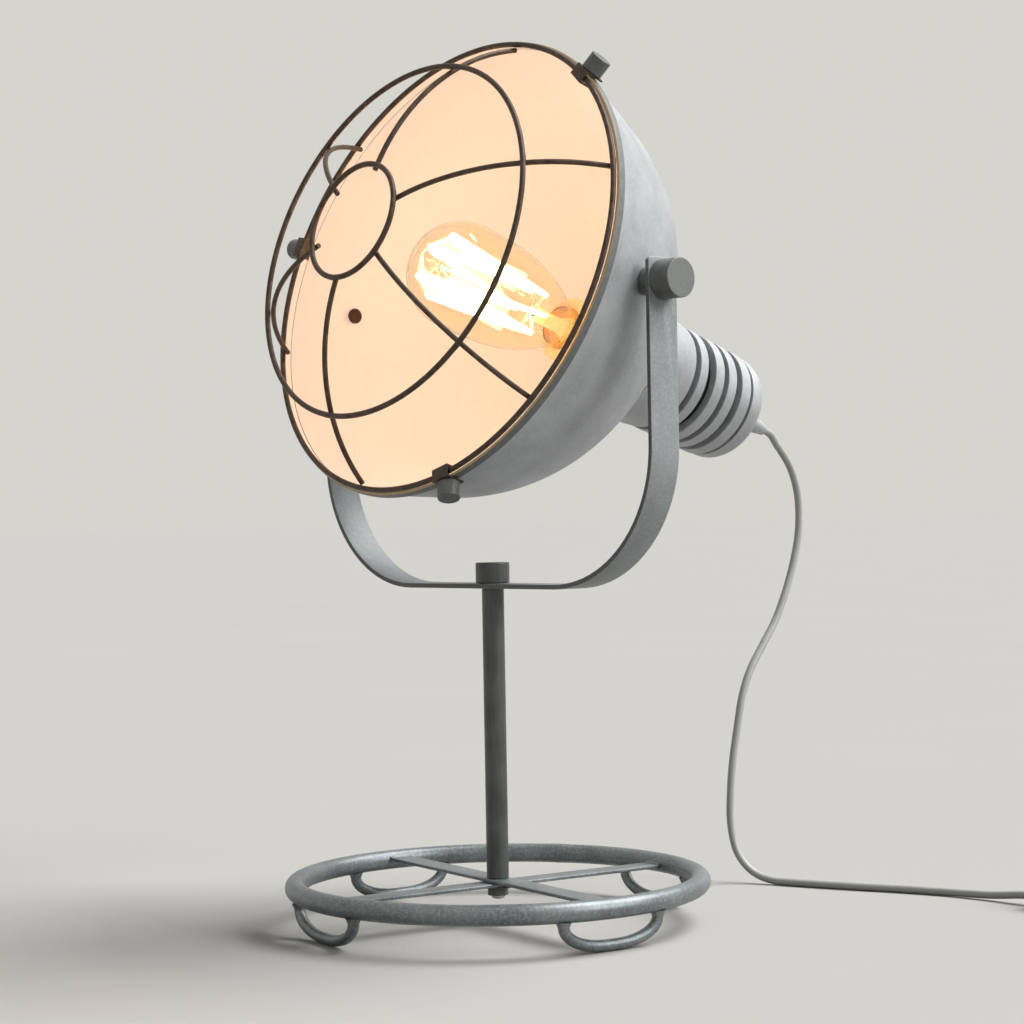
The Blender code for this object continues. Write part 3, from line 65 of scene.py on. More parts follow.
# Cord: 5 mm round flex with a smooth grey PVC sheath, 1.8 m with its switch. It leaves the gland, hangs down
# behind the lamp and runs over the table to the switch. The rest is put away as a coil beyond the view.
CORD_RADIUS = 0.0025
CORD_STEP = 0.004
CORD_SPLIT_HEIGHT = 0.16
CONTACT_GAP = 0.0003
HEAD_TILT = math.radians(18)
HEAD_RISE = 0.006
PIVOT_HEIGHT = 0.366
GLAND_TIP_AXIAL = -0.254776
SWITCH_RIGHT = 0.234
SWITCH_BACK = 0.2515
SWITCH_LENGTH = 0.058
CORD_ENTRY_HEIGHT = 0.006
CORD_ROUTE = (
    (0, 0.2579, 0.2831), (0, 0.2709, 0.2686), (0, 0.2780, 0.2509), (0, 0.2790, 0.2312), (0, 0.2755, 0.2136),
    (0, 0.2673, 0.1923), (0, 0.2547, 0.1693), (0, 0.2410, 0.1525), (0, 0.2274, 0.1359), (0, 0.2189, 0.1192),
    (0, 0.2134, 0.0986), (0, 0.2086, 0.0780), (0.0002, 0.2056, 0.0574), (0.0008, 0.2046, 0.0380),
    (0.0050, 0.2056, 0.0195), (0.0155, 0.2083, 0.0075), (0.0310, 0.2124, 0.0026), (0.0540, 0.2188, 0.0025),
    (0.0840, 0.2290, 0.0025), (0.1140, 0.2400, 0.0025), (0.1430, 0.2480, 0.0026), (0.1700, 0.2511, 0.0034),
)
COIL_RADIUS = 0.0382
COIL_PITCH = 0.0056
COIL_RISE = 0.0055
COIL_TURNS = 6.25
COIL_CLIMB = 0.5
COIL_POINTS = 48
COIL_HEIGHT = 0.0036
COIL_LEAD = 0.040
PLUG_LEAD = 0.033
PLUG_HEIGHT = 0.014


def head_place(axial):
    """A place on the head's own axis, forward of the tilt pivot."""
    forward = Vector((0, -math.cos(HEAD_TILT), math.sin(HEAD_TILT)))
    upward = Vector((0, math.sin(HEAD_TILT), math.cos(HEAD_TILT)))
    return Vector((0, STEM_Y, PIVOT_HEIGHT)) + forward * axial + upward * HEAD_RISE


def smooth_path(points, step, way_in=None, way_out=None):
    """A smooth curve through the points, with a point about every step."""
    points = [Vector(p) for p in points]
    first = points[1] - points[0]
    last = points[-1] - points[-2]
    before = points[1] - 2 * first.length * way_in if way_in else points[0] - first
    after = points[-2] + 2 * last.length * way_out if way_out else points[-1] + last
    ends = [before] + points + [after]
    path = []
    for before, start, end, after in zip(ends, ends[1:], ends[2:], ends[3:]):
        count = max(1, round((end - start).length / step))
        for i in range(count):
            t = i / count
            path.append(0.5 * (
                2 * start + (end - before) * t
                + (2 * before - 5 * start + 4 * end - after) * t ** 2
                + (3 * start - before - 3 * end + after) * t ** 3
            ))
    path.append(points[-1])
    return path


def start(name, add, **settings):
    """Adds a primitive to shape, selected by itself, and names it."""
    bpy.ops.object.select_all(action="DESELECT")
    add(**settings)
    piece = bpy.context.object
    piece.name = piece.data.name = name
    return piece


def round_line(name, path, radius, resolution=5):
    """A round rod or cord as a curve along a path."""
    line = start(name, bpy.ops.curve.primitive_nurbs_path_add, location=(0, 0, 0))
    line.data.splines.clear()
    spline = line.data.splines.new("POLY")
    spline.points.add(len(path) - 1)
    for point, spot in zip(spline.points, path):
        point.co = (*spot, 1.0)
    line.data.bevel_depth = radius
    line.data.bevel_resolution = resolution
    line.data.use_fill_caps = True
    line.data.use_path = False
    return line


def edit_all():
    """Starts to edit the active piece, with all of it selected."""
    bpy.ops.object.mode_set(mode="EDIT")
    bpy.ops.mesh.select_all(action="SELECT")


def leave():
    """Ends the editing."""
    bpy.ops.object.mode_set(mode="OBJECT")


def close_up():
    """Turns all faces of the edited piece outwards and ends the editing."""
    bpy.ops.mesh.select_all(action="SELECT")
    bpy.ops.mesh.normals_make_consistent(inside=False)
    leave()


def rod_mesh(name, path, radius, resolution=5, swell=None):
    """A round rod along a path, made a closed mesh with smooth sides. Swell scales its radius by the place."""
    line = round_line(name, path, radius, resolution)
    if swell:
        for point in line.data.splines[0].points:
            point.radius = swell(point.co)
    bpy.ops.object.convert(target="MESH")
    edit_all()
    bpy.ops.mesh.remove_doubles(threshold=0.000001)
    close_up()
    bpy.ops.object.shade_smooth_by_angle(angle=math.radians(35))
    return line


def paint(hexcode):
    """An sRGB hex colour as linear red, green, blue and alpha."""
    shares = [int(hexcode[i:i + 2], 16) / 255 for i in (1, 3, 5)]
    return tuple(s / 12.92 if s <= 0.04045 else ((s + 0.055) / 1.055) ** 2.4 for s in shares) + (1.0,)


def shader_inputs(made):
    """The sockets of a material's shader."""
    return made.node_tree.nodes["Principled BSDF"].inputs


def new_material(name, plain):
    """A node material, with these values on its shader's own sockets."""
    made = bpy.data.materials.new(name)
    made.use_nodes = True
    for socket, value in plain.items():
        shader_inputs(made)[socket].default_value = value
    return made


def add_node(made, kind, inputs, output=0, feeds=(), **settings):
    """Adds a node and gives one output, which may feed the shader. An input is a value or an earlier output."""
    node = made.node_tree.nodes.new(kind)
    for name, value in settings.items():
        setattr(node, name, value)
    for socket, value in inputs.items():
        if isinstance(value, bpy.types.NodeSocket):
            made.node_tree.links.new(value, node.inputs[socket])
        else:
            node.inputs[socket].default_value = value
    for socket in feeds:
        made.node_tree.links.new(node.outputs[output], shader_inputs(made)[socket])
    return node.outputs[output]


def noise(made, scale, detail=2.0, place=None):
    """A cloudy pattern from 0 to 1 with so many spots to the metre, on Object coordinates if no others are given."""
    place = place or add_node(made, "ShaderNodeTexCoord", {}, "Object")
    return add_node(made, "ShaderNodeTexNoise", {"Vector": place, "Scale": scale, "Detail": detail})


def tones(made, share, low, high, feeds=("Base Color",)):
    """A mix of two colours, each a hex value or an earlier mix, for the base colour or other sockets."""
    low, high = (paint(tone) if isinstance(tone, str) else tone for tone in (low, high))
    return add_node(made, "ShaderNodeMix", {0: share, 6: low, 7: high}, 2, feeds, data_type="RGBA")


def gloss(made, share, low, high):
    """Roughness that runs from low to high with a pattern."""
    add_node(made, "ShaderNodeMapRange", {"Value": share, "To Min": low, "To Max": high}, feeds=["Roughness"])


def give(piece, made):
    """Puts one material on a piece."""
    piece.data.materials.clear()
    piece.data.materials.append(made)


# PVC sheath, extruded: an even satin grey with faint cloudy handling marks about 15 mm wide.
sheath = new_material("grey_pvc_sheath", {"Roughness": 0.42, "IOR": 1.52})
clouds = noise(sheath, 65.0, 3.0)
tones(sheath, clouds, "#CDCEC7", "#DDDED7")
gloss(sheath, clouds, 0.36, 0.48)

to_right = Vector((1, 0, 0))
to_front = Vector((0, -1, 0))
cord_start = head_place(GLAND_TIP_AXIAL - CONTACT_GAP)
cord_second = head_place(GLAND_TIP_AXIAL - CONTACT_GAP - 2 * CORD_RADIUS)
stem_foot = Vector((0, STEM_Y, 0))
switch_in = Vector((SWITCH_RIGHT - SWITCH_LENGTH / 2 - CONTACT_GAP, STEM_Y + SWITCH_BACK, CORD_ENTRY_HEIGHT))
knots = [cord_second] + [stem_foot + Vector(p) for p in CORD_ROUTE] + [switch_in - to_right * 2 * CORD_RADIUS]
route = smooth_path(knots, CORD_STEP, (cord_second - cord_start).normalized(), to_right)
route = [cord_start] + [Vector((p.x, p.y, max(p.z, CORD_RADIUS))) for p in route] + [switch_in]
split = next(i for i, p in enumerate(route) if p.z < CORD_SPLIT_HEIGHT)
upper_run = route[:split + 1]
lower_run = route[split:]
upper_cord = rod_mesh("cord_upper", upper_run, CORD_RADIUS)
lower_cord = rod_mesh("cord_lower", lower_run, CORD_RADIUS)

switch_out = switch_in + to_right * (SWITCH_LENGTH + 2 * CONTACT_GAP)
coil_start = Vector((switch_out.x + COIL_LEAD, switch_out.y, COIL_HEIGHT))
coil_centre = coil_start - Vector((0, COIL_RADIUS, 0))
loops = []
for i in range(round(COIL_TURNS * COIL_POINTS) + 1):
    turns = i / COIL_POINTS
    climb = min(1, max(0, (turns - (COIL_TURNS - COIL_CLIMB) / 2) / COIL_CLIMB))
    angle = math.pi / 2 - math.tau * turns
    reach = COIL_RADIUS - COIL_PITCH * min(turns, COIL_TURNS - turns)
    loops.append(coil_centre + Vector((math.cos(angle) * reach, math.sin(angle) * reach, COIL_RISE * climb)))
lead = smooth_path([switch_out + to_right * 2 * CORD_RADIUS, loops[0]], CORD_STEP, to_right, to_right)
plug_spot = Vector((loops[-1].x, loops[-1].y - PLUG_LEAD, PLUG_HEIGHT / 2))
plug_lead = smooth_path([loops[-1], plug_spot - to_front * 2 * CORD_RADIUS], CORD_STEP, to_front, to_front)
coil_run = [switch_out] + lead[:-1] + loops + plug_lead[1:] + [plug_spot]
coil = round_line("cord_coil_wound", coil_run, CORD_RADIUS, 4)

for piece in (upper_cord, lower_cord, coil):
    give(piece, sheath)
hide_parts("cord_drop")
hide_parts("cord_drop")
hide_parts("cord_coil")
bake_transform(upper_cord)
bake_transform(lower_cord)
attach(coil, "base")


# Switch: an in-line rocker switch that lies on the table, two ABS half shells screwed together round the flex.
# A groove marks the seam, the ends taper over the cord, and the black rocker tilts in a pocket.
SWITCH_WIDTH = 0.024
SWITCH_HEIGHT = 0.018
SWITCH_CORNER = 0.005
SWITCH_SEAM_HEIGHT = 0.0085
SEAM_WIDTH = 0.0006
ROCKER_LENGTH = 0.018
ROCKER_WIDTH = 0.011
ROCKER_HEIGHT = 0.007
ROCKER_PROUD = 0.003
ROCKER_PLAY = 0.0006
ROCKER_TILT = math.radians(8)
ROCKER_CLEAR_BELOW = 0.0016
RIDGE_HEIGHT = 0.0008
RIDGE_SHARE = 0.09
POCKET_TOP = 0.03


def take(piece):
    """Makes a piece the only one selected, and the active one."""
    bpy.ops.object.select_all(action="DESELECT")
    piece.select_set(True)
    bpy.context.view_layer.objects.active = piece


def pick(kind, test):
    """Edits the active piece and selects the vertices, edges or faces that pass a test of their middle."""
    bpy.ops.object.mode_set(mode="EDIT")
    bpy.ops.mesh.select_mode(type=kind)
    bpy.ops.mesh.select_all(action="DESELECT")
    mesh = bmesh.from_edit_mesh(bpy.context.object.data)
    items = {"VERT": mesh.verts, "EDGE": mesh.edges, "FACE": mesh.faces}[kind]
    for item in items:
        verts = [item] if kind == "VERT" else item.verts
        middle = sum((v.co for v in verts), Vector()) / len(verts)
        item.select_set(bool(test(middle, item)))
    mesh.select_flush_mode()
    bmesh.update_edit_mesh(bpy.context.object.data)


def block(name, middle, size):
    """A block to shape, at its place and size."""
    piece = start(name, bpy.ops.mesh.primitive_cube_add, size=1.0, location=middle, scale=size)
    bpy.ops.object.transform_apply()
    return piece


def modify(piece, kind, **settings):
    """Adds a modifier with its settings and applies it."""
    take(piece)
    modifier = piece.modifiers.new("shape", kind)
    for name, value in settings.items():
        setattr(modifier, name, value)
    bpy.ops.object.modifier_apply(modifier=modifier.name)


def round_edges(piece, width, segments=2, angle=30):
    """Rounds a piece's sharp edges and smooths its curved sides."""
    turn = math.radians(angle)
    modify(piece, "BEVEL", width=width, segments=segments, limit_method="ANGLE", angle_limit=turn)
    bpy.ops.object.shade_smooth_by_angle(angle=turn)


def carve(piece, cutter):
    """Cuts one shape out of a piece and deletes the cutting shape."""
    modify(piece, "BOOLEAN", operation="DIFFERENCE", object=cutter, solver="EXACT")
    bpy.data.objects.remove(cutter)


def settle(piece, place, name=None):
    """Puts a piece in its place, applies that place to its mesh and may rename it."""
    take(piece)
    piece.matrix_world = place
    bpy.ops.object.transform_apply()
    piece.name = piece.data.name = name or piece.name


def finish(piece, made, slot, body, *nodes):
    """Gives a piece its first material, the body it moves with and the nodes it stands for. The slot is not used."""
    if made.name not in piece.data.materials:
        give(piece, made)
    if nodes:
        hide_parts(*nodes)
    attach(piece, body)


def pull(*way):
    """Extrudes what is selected."""
    bpy.ops.mesh.extrude_region_move(TRANSFORM_OT_translate={"value": way})


def relief(made, height, strength, distance):
    """A fine relief from a pattern."""
    add_node(made, "ShaderNodeBump", {"Height": height, "Strength": strength, "Distance": distance}, feeds=["Normal"])


# ABS, injection moulded with a fine spark-eroded texture, about 0.5 mm grit, which breaks up the shine.
shell_plastic = new_material("moulded_grey_abs", {"Roughness": 0.5, "IOR": 1.53})
grit = noise(shell_plastic, 2000.0)
clouds = noise(shell_plastic, 60.0)
tones(shell_plastic, clouds, "#82837C", "#92938B")
relief(shell_plastic, grit, 0.25, 0.0003)

switch_middle = Vector((SWITCH_RIGHT, STEM_Y + SWITCH_BACK, SWITCH_HEIGHT / 2))
switch = block("switch_shell", switch_middle, (SWITCH_LENGTH, SWITCH_WIDTH, SWITCH_HEIGHT))
edit_all()
bpy.ops.mesh.bevel(offset=SWITCH_CORNER, segments=8, profile=0.5, affect="EDGES")
for height in (SWITCH_SEAM_HEIGHT - SEAM_WIDTH / 2, SWITCH_SEAM_HEIGHT + SEAM_WIDTH / 2):
    bpy.ops.mesh.select_all(action="SELECT")
    bpy.ops.mesh.bisect(plane_co=(0, 0, height), plane_no=(0, 0, 1))
pick("FACE", lambda middle, face: abs(middle.z - SWITCH_SEAM_HEIGHT) < SEAM_WIDTH / 3 and abs(face.normal.z) < 0.5)
bpy.ops.mesh.extrude_region_shrink_fatten(TRANSFORM_OT_shrink_fatten={"value": SEAM_WIDTH})
close_up()
pocket_floor = SWITCH_HEIGHT + ROCKER_PROUD - ROCKER_HEIGHT - ROCKER_CLEAR_BELOW
pocket = block(
    "pocket", (switch_middle.x, switch_middle.y, (pocket_floor + POCKET_TOP) / 2),
    (ROCKER_LENGTH + 2 * ROCKER_PLAY, ROCKER_WIDTH + 2 * CONTACT_GAP, POCKET_TOP - pocket_floor),
)
carve(switch, pocket)
bpy.ops.object.shade_smooth_by_angle(angle=math.radians(30))
finish(switch, shell_plastic, "grey_plastic", "base", "switch_body")

# Rocker: black ABS, tilted to its OFF end, with a raised ridge across the middle for the thumb.
rocker_plastic = new_material("moulded_black_abs", {"Roughness": 0.4, "IOR": 1.53})
clouds = noise(rocker_plastic, 300.0, 4.0)
tones(rocker_plastic, clouds, "#1A1A19", "#2A2A28")
gloss(rocker_plastic, clouds, 0.34, 0.5)
rocker = block("rocker", (0, 0, 0), (ROCKER_LENGTH, ROCKER_WIDTH, ROCKER_HEIGHT))
edit_all()
bpy.ops.mesh.subdivide(number_cuts=5)
pick("FACE", lambda middle, face: face.normal.z > 0.5 and abs(middle.x) > ROCKER_LENGTH * RIDGE_SHARE)
pull(0, 0, -RIDGE_HEIGHT)
leave()
round_edges(rocker, 0.0006, 3)
rocker_height = SWITCH_HEIGHT + ROCKER_PROUD - ROCKER_HEIGHT / 2
settle(rocker, Matrix.Translation((switch_middle.x, switch_middle.y, rocker_height))
       @ Matrix.Rotation(ROCKER_TILT, 4, "Y"))
finish(rocker, rocker_plastic, "black_plastic", "switch_rocker", "switch_rocker")


# Plug: a moulded two-pin plug at the end of the coil, waisted for the fingers, its tail tapering over the flex.
# Its pins are turned steel with rounded tips, sleeved in plastic for half their length.
PLUG_LENGTH = 0.036
PLUG_WIDTH = 0.034
PLUG_TAIL = 0.018
PLUG_TAIL_RADIUS = 0.004
PIN_RADIUS = 0.002
PIN_LENGTH = 0.019
PIN_SPACING = 0.0186
CUT_REACH = 0.0005
BROKEN_EDGE = 0.0003


def lathe(name, outline, steps=96):
    """Draws an outline of (radius, height) points and spins it about the upright axis, as on a lathe."""
    piece = start(name, bpy.ops.mesh.primitive_plane_add, size=0.01, location=(0, 0, 0))
    edit_all()
    bpy.ops.mesh.select_mode(type="VERT")
    bpy.ops.mesh.merge(type="CENTER")
    here = Vector((outline[0][0], 0, outline[0][1]))
    bpy.ops.transform.translate(value=here)
    for radius, height in outline[1:]:
        there = Vector((radius, 0, height))
        bpy.ops.mesh.extrude_vertices_move(TRANSFORM_OT_translate={"value": there - here})
        here = there
    bpy.ops.mesh.select_all(action="SELECT")
    bpy.ops.mesh.spin(steps=steps, angle=math.tau, center=(0, 0, 0), axis=(0, 0, 1))
    bpy.ops.mesh.select_all(action="SELECT")
    bpy.ops.mesh.remove_doubles(threshold=0.000002)
    close_up()
    bpy.ops.object.shade_smooth_by_angle(angle=math.radians(30))
    return piece


def sleeve(name, bore, radius, low, high, steps):
    """A turned sleeve between two heights."""
    return lathe(name, [(bore, low), (radius, low), (radius, high), (bore, high), (bore, low)], steps)


def copies(piece, count):
    """A list of a piece and its copies, so many in all."""
    made = [piece]
    while len(made) < count:
        take(piece)
        bpy.ops.object.duplicate()
        made.append(bpy.context.object)
    return made


plug_back = plug_spot.y - PLUG_TAIL
plug_middle = (plug_spot.x, plug_back - PLUG_LENGTH / 2, PLUG_HEIGHT / 2)
plug = block("plug_shell", plug_middle, (PLUG_WIDTH, PLUG_LENGTH, PLUG_HEIGHT))
for share in (0.25, 0.4, 0.55, 0.7, 0.85):
    edit_all()
    bpy.ops.mesh.bisect(plane_co=(0, plug_back - PLUG_LENGTH * share, 0), plane_no=(0, 1, 0))
for share, waist in ((0.0, 0.62), (0.25, 0.80), (0.4, 0.88), (0.55, 0.93)):
    pick("VERT", lambda middle, vert: abs(middle.y - plug_back + PLUG_LENGTH * share) < CUT_REACH)
    bpy.ops.transform.resize(value=(waist, 1, 1), center_override=(plug_spot.x, 0, 0))
leave()
round_edges(plug, 0.003, 5)
tail = lathe("plug_tail", [
    (0, 0), (CORD_RADIUS + CONTACT_GAP, 0), (0.0031, 0.003), (0.0031, 0.005), (0.0034, 0.006), (0.0034, 0.009),
    (0.0037, 0.010), (0.0037, 0.013), (PLUG_TAIL_RADIUS, 0.014), (PLUG_TAIL_RADIUS, PLUG_TAIL + 0.001),
    (0, PLUG_TAIL + 0.001),
], 32)
settle(tail, Matrix.Translation(plug_spot + to_front * CONTACT_GAP) @ Matrix.Rotation(math.pi / 2, 4, "X"))
finish(plug, shell_plastic, "grey_plastic", "base", "plug_body")
finish(tail, shell_plastic, "grey_plastic", "base", "plug_body")

# Nickel-plated steel, turned: near-neutral and fairly bright, with fine rings of turning.
bright_steel = new_material("plated_steel", {"Metallic": 1.0, "Roughness": 0.25})
clouds = noise(bright_steel, 400.0, 4.0)
tones(bright_steel, clouds, "#A8A7A2", "#C9C8C4")
gloss(bright_steel, clouds, 0.2, 0.36)
pin = lathe("plug_pin", [
    (0, 0), (PIN_RADIUS, 0), (PIN_RADIUS, 0.0095), (0.0018, 0.0097), (0.0018, 0.0172), (0.0015, 0.0184),
    (0.0009, PIN_LENGTH), (0, PIN_LENGTH),
], 24)
pins = copies(pin, 2)
for number, (piece, side) in enumerate(zip(pins, (-1, 1)), 1):
    spot = Vector((plug_spot.x + side * PIN_SPACING / 2, plug_back - PLUG_LENGTH - 2 * CONTACT_GAP, PLUG_HEIGHT / 2))
    settle(piece, Matrix.Translation(spot) @ Matrix.Rotation(math.pi / 2, 4, "X"), f"pin_{number}")
    finish(piece, bright_steel, "bright_metal", "base", f"plug_pin_{number}")

# Tie: a black rubber strap round the coil's near side, soft-edged, with a matt bloom on its skin.
rubber = new_material("black_rubber", {"Roughness": 0.72, "IOR": 1.52})
bloom = noise(rubber, 350.0, 5.0)
tones(rubber, bloom, "#1B1B1A", "#33322F")
relief(rubber, bloom, 0.3, 0.0002)


def from_node(name, node):
    """A copy of a CAD node with its loose triangles merged, as a start for a finer piece."""
    take(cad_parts[node])
    bpy.ops.object.duplicate()
    piece = bpy.context.object
    piece.name = piece.data.name = name
    piece.parent = None
    for key in [key for key in piece.keys() if key.startswith("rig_")]:
        del piece[key]
    edit_all()
    bpy.ops.mesh.customdata_custom_splitnormals_clear()
    bpy.ops.mesh.remove_doubles(threshold=0.000002)
    bpy.ops.mesh.mark_sharp(clear=True)
    bpy.ops.mesh.dissolve_limited(angle_limit=math.radians(0.5))
    leave()
    return piece


def refine(name, node, made, slot, body, edge=BROKEN_EDGE, angle=25):
    """A CAD node's own shape with its edges broken, finished in its place."""
    piece = from_node(name, node)
    round_edges(piece, edge, 2, angle)
    finish(piece, made, slot, body, node)
    return piece


tie = refine("tie_strap", "coil_tie", rubber, "black_plastic", "base", angle=40)


# Base ring: a 12 mm round steel bar rolled to a hoop 250 mm across, butt welded at the back and ground nearly
# flush, then hot-dip galvanised with the feet and cross bars. It is tapped dull, so it reads as grey zinc.
RING_RADIUS = 0.119
RING_ROD = 0.00587
RING_HEIGHT = 0.024
BASE_TURN = math.radians(-10)
WELD_ANGLE = math.radians(118)
WELD_WIDTH = 0.004
WELD_SWELL = 0.00018


def hoop(name, middle, radius, rod, steps, sides):
    """A round bar bent to a hoop."""
    piece = start(
        name, bpy.ops.mesh.primitive_torus_add, location=middle,
        major_radius=radius, minor_radius=rod, major_segments=steps, minor_segments=sides,
    )
    bpy.ops.object.transform_apply()
    return piece


def stretch(made, value, low, high, top=1.0):
    """The part of a pattern from low to high, stretched to run from 0 to top."""
    return add_node(made, "ShaderNodeMapRange", {"Value": value, "From Min": low, "From Max": high, "To Max": top})


def zinc_coat(name, low, high, bloom, metallic, rough):
    """Galvanised steel: zinc with darker clouds 25 mm wide, pale bloom spots of 1 to 2 mm and a fine grain.

    The grain is 0.8 mm, coarser than the real crystal so that it shows. The coat has weathered, so it is only
    partly bare metal, and the bloom changes its gloss.
    """
    coat = new_material(name, {"Metallic": metallic, "Roughness": rough})
    clouds = noise(coat, 40.0, 4.0)
    spots = noise(coat, 620.0, 3.0)
    grain = noise(coat, 1250.0)
    cloud_share = stretch(coat, clouds, 0.3, 0.7)
    spot_share = stretch(coat, spots, 0.45, 0.75, 0.6)
    tone = tones(coat, cloud_share, low, high, [])
    tones(coat, spot_share, tone, bloom)
    gloss(coat, spots, rough - 0.1, rough + 0.12)
    relief(coat, grain, 0.25, 0.0003)
    return coat


# The hoop's coat is a darker copy of the yoke's. It is painted shade for the dimmer light round the base.
shaded_zinc = zinc_coat("dull_zinc_coating", "#70777A", "#8E9598", "#B4BABC", 0.45, 0.38)

ring = hoop("base_hoop", (0, STEM_Y, RING_HEIGHT), RING_RADIUS, RING_ROD, 192, 24)
weld_spot = Vector((math.cos(WELD_ANGLE) * RING_RADIUS, STEM_Y + math.sin(WELD_ANGLE) * RING_RADIUS, RING_HEIGHT))
along_hoop = Vector((-math.sin(WELD_ANGLE), math.cos(WELD_ANGLE), 0))
for reach, swell in ((1.4, 0.4), (0.7, 0.6)):
    pick("VERT", lambda middle, vert: (middle - weld_spot).length < RING_ROD + WELD_WIDTH * reach
         and abs((middle - weld_spot).dot(along_hoop)) < WELD_WIDTH * reach)
    bpy.ops.transform.shrink_fatten(value=WELD_SWELL * swell)
leave()
bpy.ops.object.shade_smooth()
finish(ring, shaded_zinc, "galvanised_metal", "base", "base_ring")


# Feet: four loops of 6.5 mm round bar under the ring, each bent to a shallow U and welded to the ring's underside
# at both ends, where the weld has run into a small fillet.
FOOT_ROD = 0.00325
FOOT_HALF_WIDTH = 0.0315
FOOT_CORNER_RUN = 0.0275
FOOT_END_RUN = 0.002
FOOT_STEPS = 14
FOOT_SINK = 0.0012
FILLET_RADIUS = 0.0046
FEET = 4
foot_top = 0.0177
foot_drop = foot_top - FOOT_END_RUN - FOOT_ROD
corner = [(FOOT_HALF_WIDTH, foot_top + FOOT_SINK)]
for i in range(FOOT_STEPS + 1):
    swing = math.pi / 2 * i / FOOT_STEPS
    corner.append((
        FOOT_HALF_WIDTH - FOOT_CORNER_RUN * (1 - math.cos(swing)),
        foot_top - FOOT_END_RUN - foot_drop * math.sin(swing),
    ))
foot_path = [Vector((0, -along, height)) for along, height in corner]
foot_path += [Vector((0, along, height)) for along, height in reversed(corner)]
foot = rod_mesh("foot_loop", foot_path, FOOT_ROD, 7)
for side in (-1, 1):
    pick("VERT", lambda middle, vert: middle.z > foot_top and middle.y * side > 0)
    bpy.ops.transform.resize(
        value=(FILLET_RADIUS / FOOT_ROD, FILLET_RADIUS / FOOT_ROD, 1),
        center_override=(0, side * FOOT_HALF_WIDTH, foot_top),
    )
leave()
foot_reach = math.sqrt(RING_RADIUS ** 2 - FOOT_HALF_WIDTH ** 2)
for i, piece in enumerate(copies(foot, FEET)):
    place = Matrix.Translation(stem_foot) @ Matrix.Rotation(BASE_TURN + math.tau * i / FEET, 4, "Z")
    settle(piece, place @ Matrix.Translation((foot_reach, 0, 0)), f"foot_bar_{i + 1}")
    finish(piece, shaded_zinc, "galvanised_metal", "base", f"foot_{i + 1}")


# Cross bars: two 15 by 2 mm flat bars that cross under the stem, one on the other, with sheared and tumbled edges,
# welded at their ends to the inside of the ring with a small bead across each end.
BAR_WIDTH = 0.015
BAR_THICKNESS = 0.002
BAR_HALF_LENGTH = 0.1138
BEAD_RADIUS = 0.0013
BEAD_STEPS = 8
BEAD_INSET = 0.0002
BEAD_END_SWELL = 0.55
BEAD_RIPPLE = 0.12
for number, (swing, step) in enumerate(((0, 1), (math.pi / 2, -1)), 1):
    height = RING_HEIGHT + step * (BAR_THICKNESS + CONTACT_GAP) / 2
    bar = block(f"cross_bar_{number}", (0, 0, 0), (2 * BAR_HALF_LENGTH, BAR_WIDTH, BAR_THICKNESS))
    round_edges(bar, 0.0004, 3)
    settle(bar, Matrix.Translation((0, STEM_Y, height)) @ Matrix.Rotation(BASE_TURN + swing, 4, "Z"))
    finish(bar, shaded_zinc, "galvanised_metal", "base", "cross_bar_top" if step > 0 else "cross_bar_low")
bead_path = []
for i in range(BEAD_STEPS + 1):
    across = BAR_WIDTH * (i / BEAD_STEPS - 0.5)
    bead_path.append(Vector((math.sqrt((RING_RADIUS - RING_ROD) ** 2 - across ** 2) - BEAD_INSET, across, 0)))
bead = rod_mesh("weld_bead", bead_path, BEAD_RADIUS, 3)
for i, spot in enumerate(bead_path):
    pick("VERT", lambda middle, vert: abs(middle.y - spot.y) < BAR_WIDTH / (2 * BEAD_STEPS + 1))
    swell = BEAD_END_SWELL if i in (0, BEAD_STEPS) else 1.0 + BEAD_RIPPLE * (-1) ** i
    bpy.ops.transform.resize(value=(swell, 1, swell), center_override=(spot.x, 0, 0))
leave()
bpy.ops.object.shade_smooth()
for i, piece in enumerate(copies(bead, 4)):
    step = 1 if i % 2 == 0 else -1
    height = RING_HEIGHT + step * (BAR_THICKNESS + CONTACT_GAP) / 2 + BAR_THICKNESS / 2
    place = Matrix.Translation((0, STEM_Y, height)) @ Matrix.Rotation(BASE_TURN + math.tau * i / 4, 4, "Z")
    settle(piece, place, f"weld_bead_{i + 1}")
    finish(piece, shaded_zinc, "galvanised_metal", "base")


# Stem: a 13 mm round steel tube, clamped between the bars and the yoke by a rod through it. A washer and a
# hexagon nut hold the rod under the bars, and its bright end shows below the nut.
STEM_RADIUS = 0.0065
TUBE_BORE = 0.0044
STEM_LOW = 0.02645
STEM_HIGH = 0.1963

# Galvanised tube, drawn and dulled: darker than the ring, with drawing lines along it about 1 mm apart.
drawn_zinc = new_material("drawn_zinc_tube", {"Metallic": 0.3, "Roughness": 0.4})
place = add_node(drawn_zinc, "ShaderNodeTexCoord", {}, "Object")
along = add_node(drawn_zinc, "ShaderNodeMapping", {"Vector": place, "Scale": (900.0, 900.0, 40.0)})
lines = noise(drawn_zinc, 1.0, 3.0, along)
clouds = noise(drawn_zinc, 60.0, 4.0)
mixed = add_node(drawn_zinc, "ShaderNodeMix", {0: 0.4, 2: clouds, 3: lines}, data_type="FLOAT")
share = stretch(drawn_zinc, mixed, 0.35, 0.65)
tones(drawn_zinc, share, "#515452", "#696C6A")
gloss(drawn_zinc, mixed, 0.28, 0.46)
stem = sleeve("stem", TUBE_BORE, STEM_RADIUS, STEM_LOW, STEM_HIGH, 64)
round_edges(stem, 0.0003)
settle(stem, Matrix.Translation(stem_foot))
finish(stem, drawn_zinc, "galvanised_metal", "base", "stem_tube")
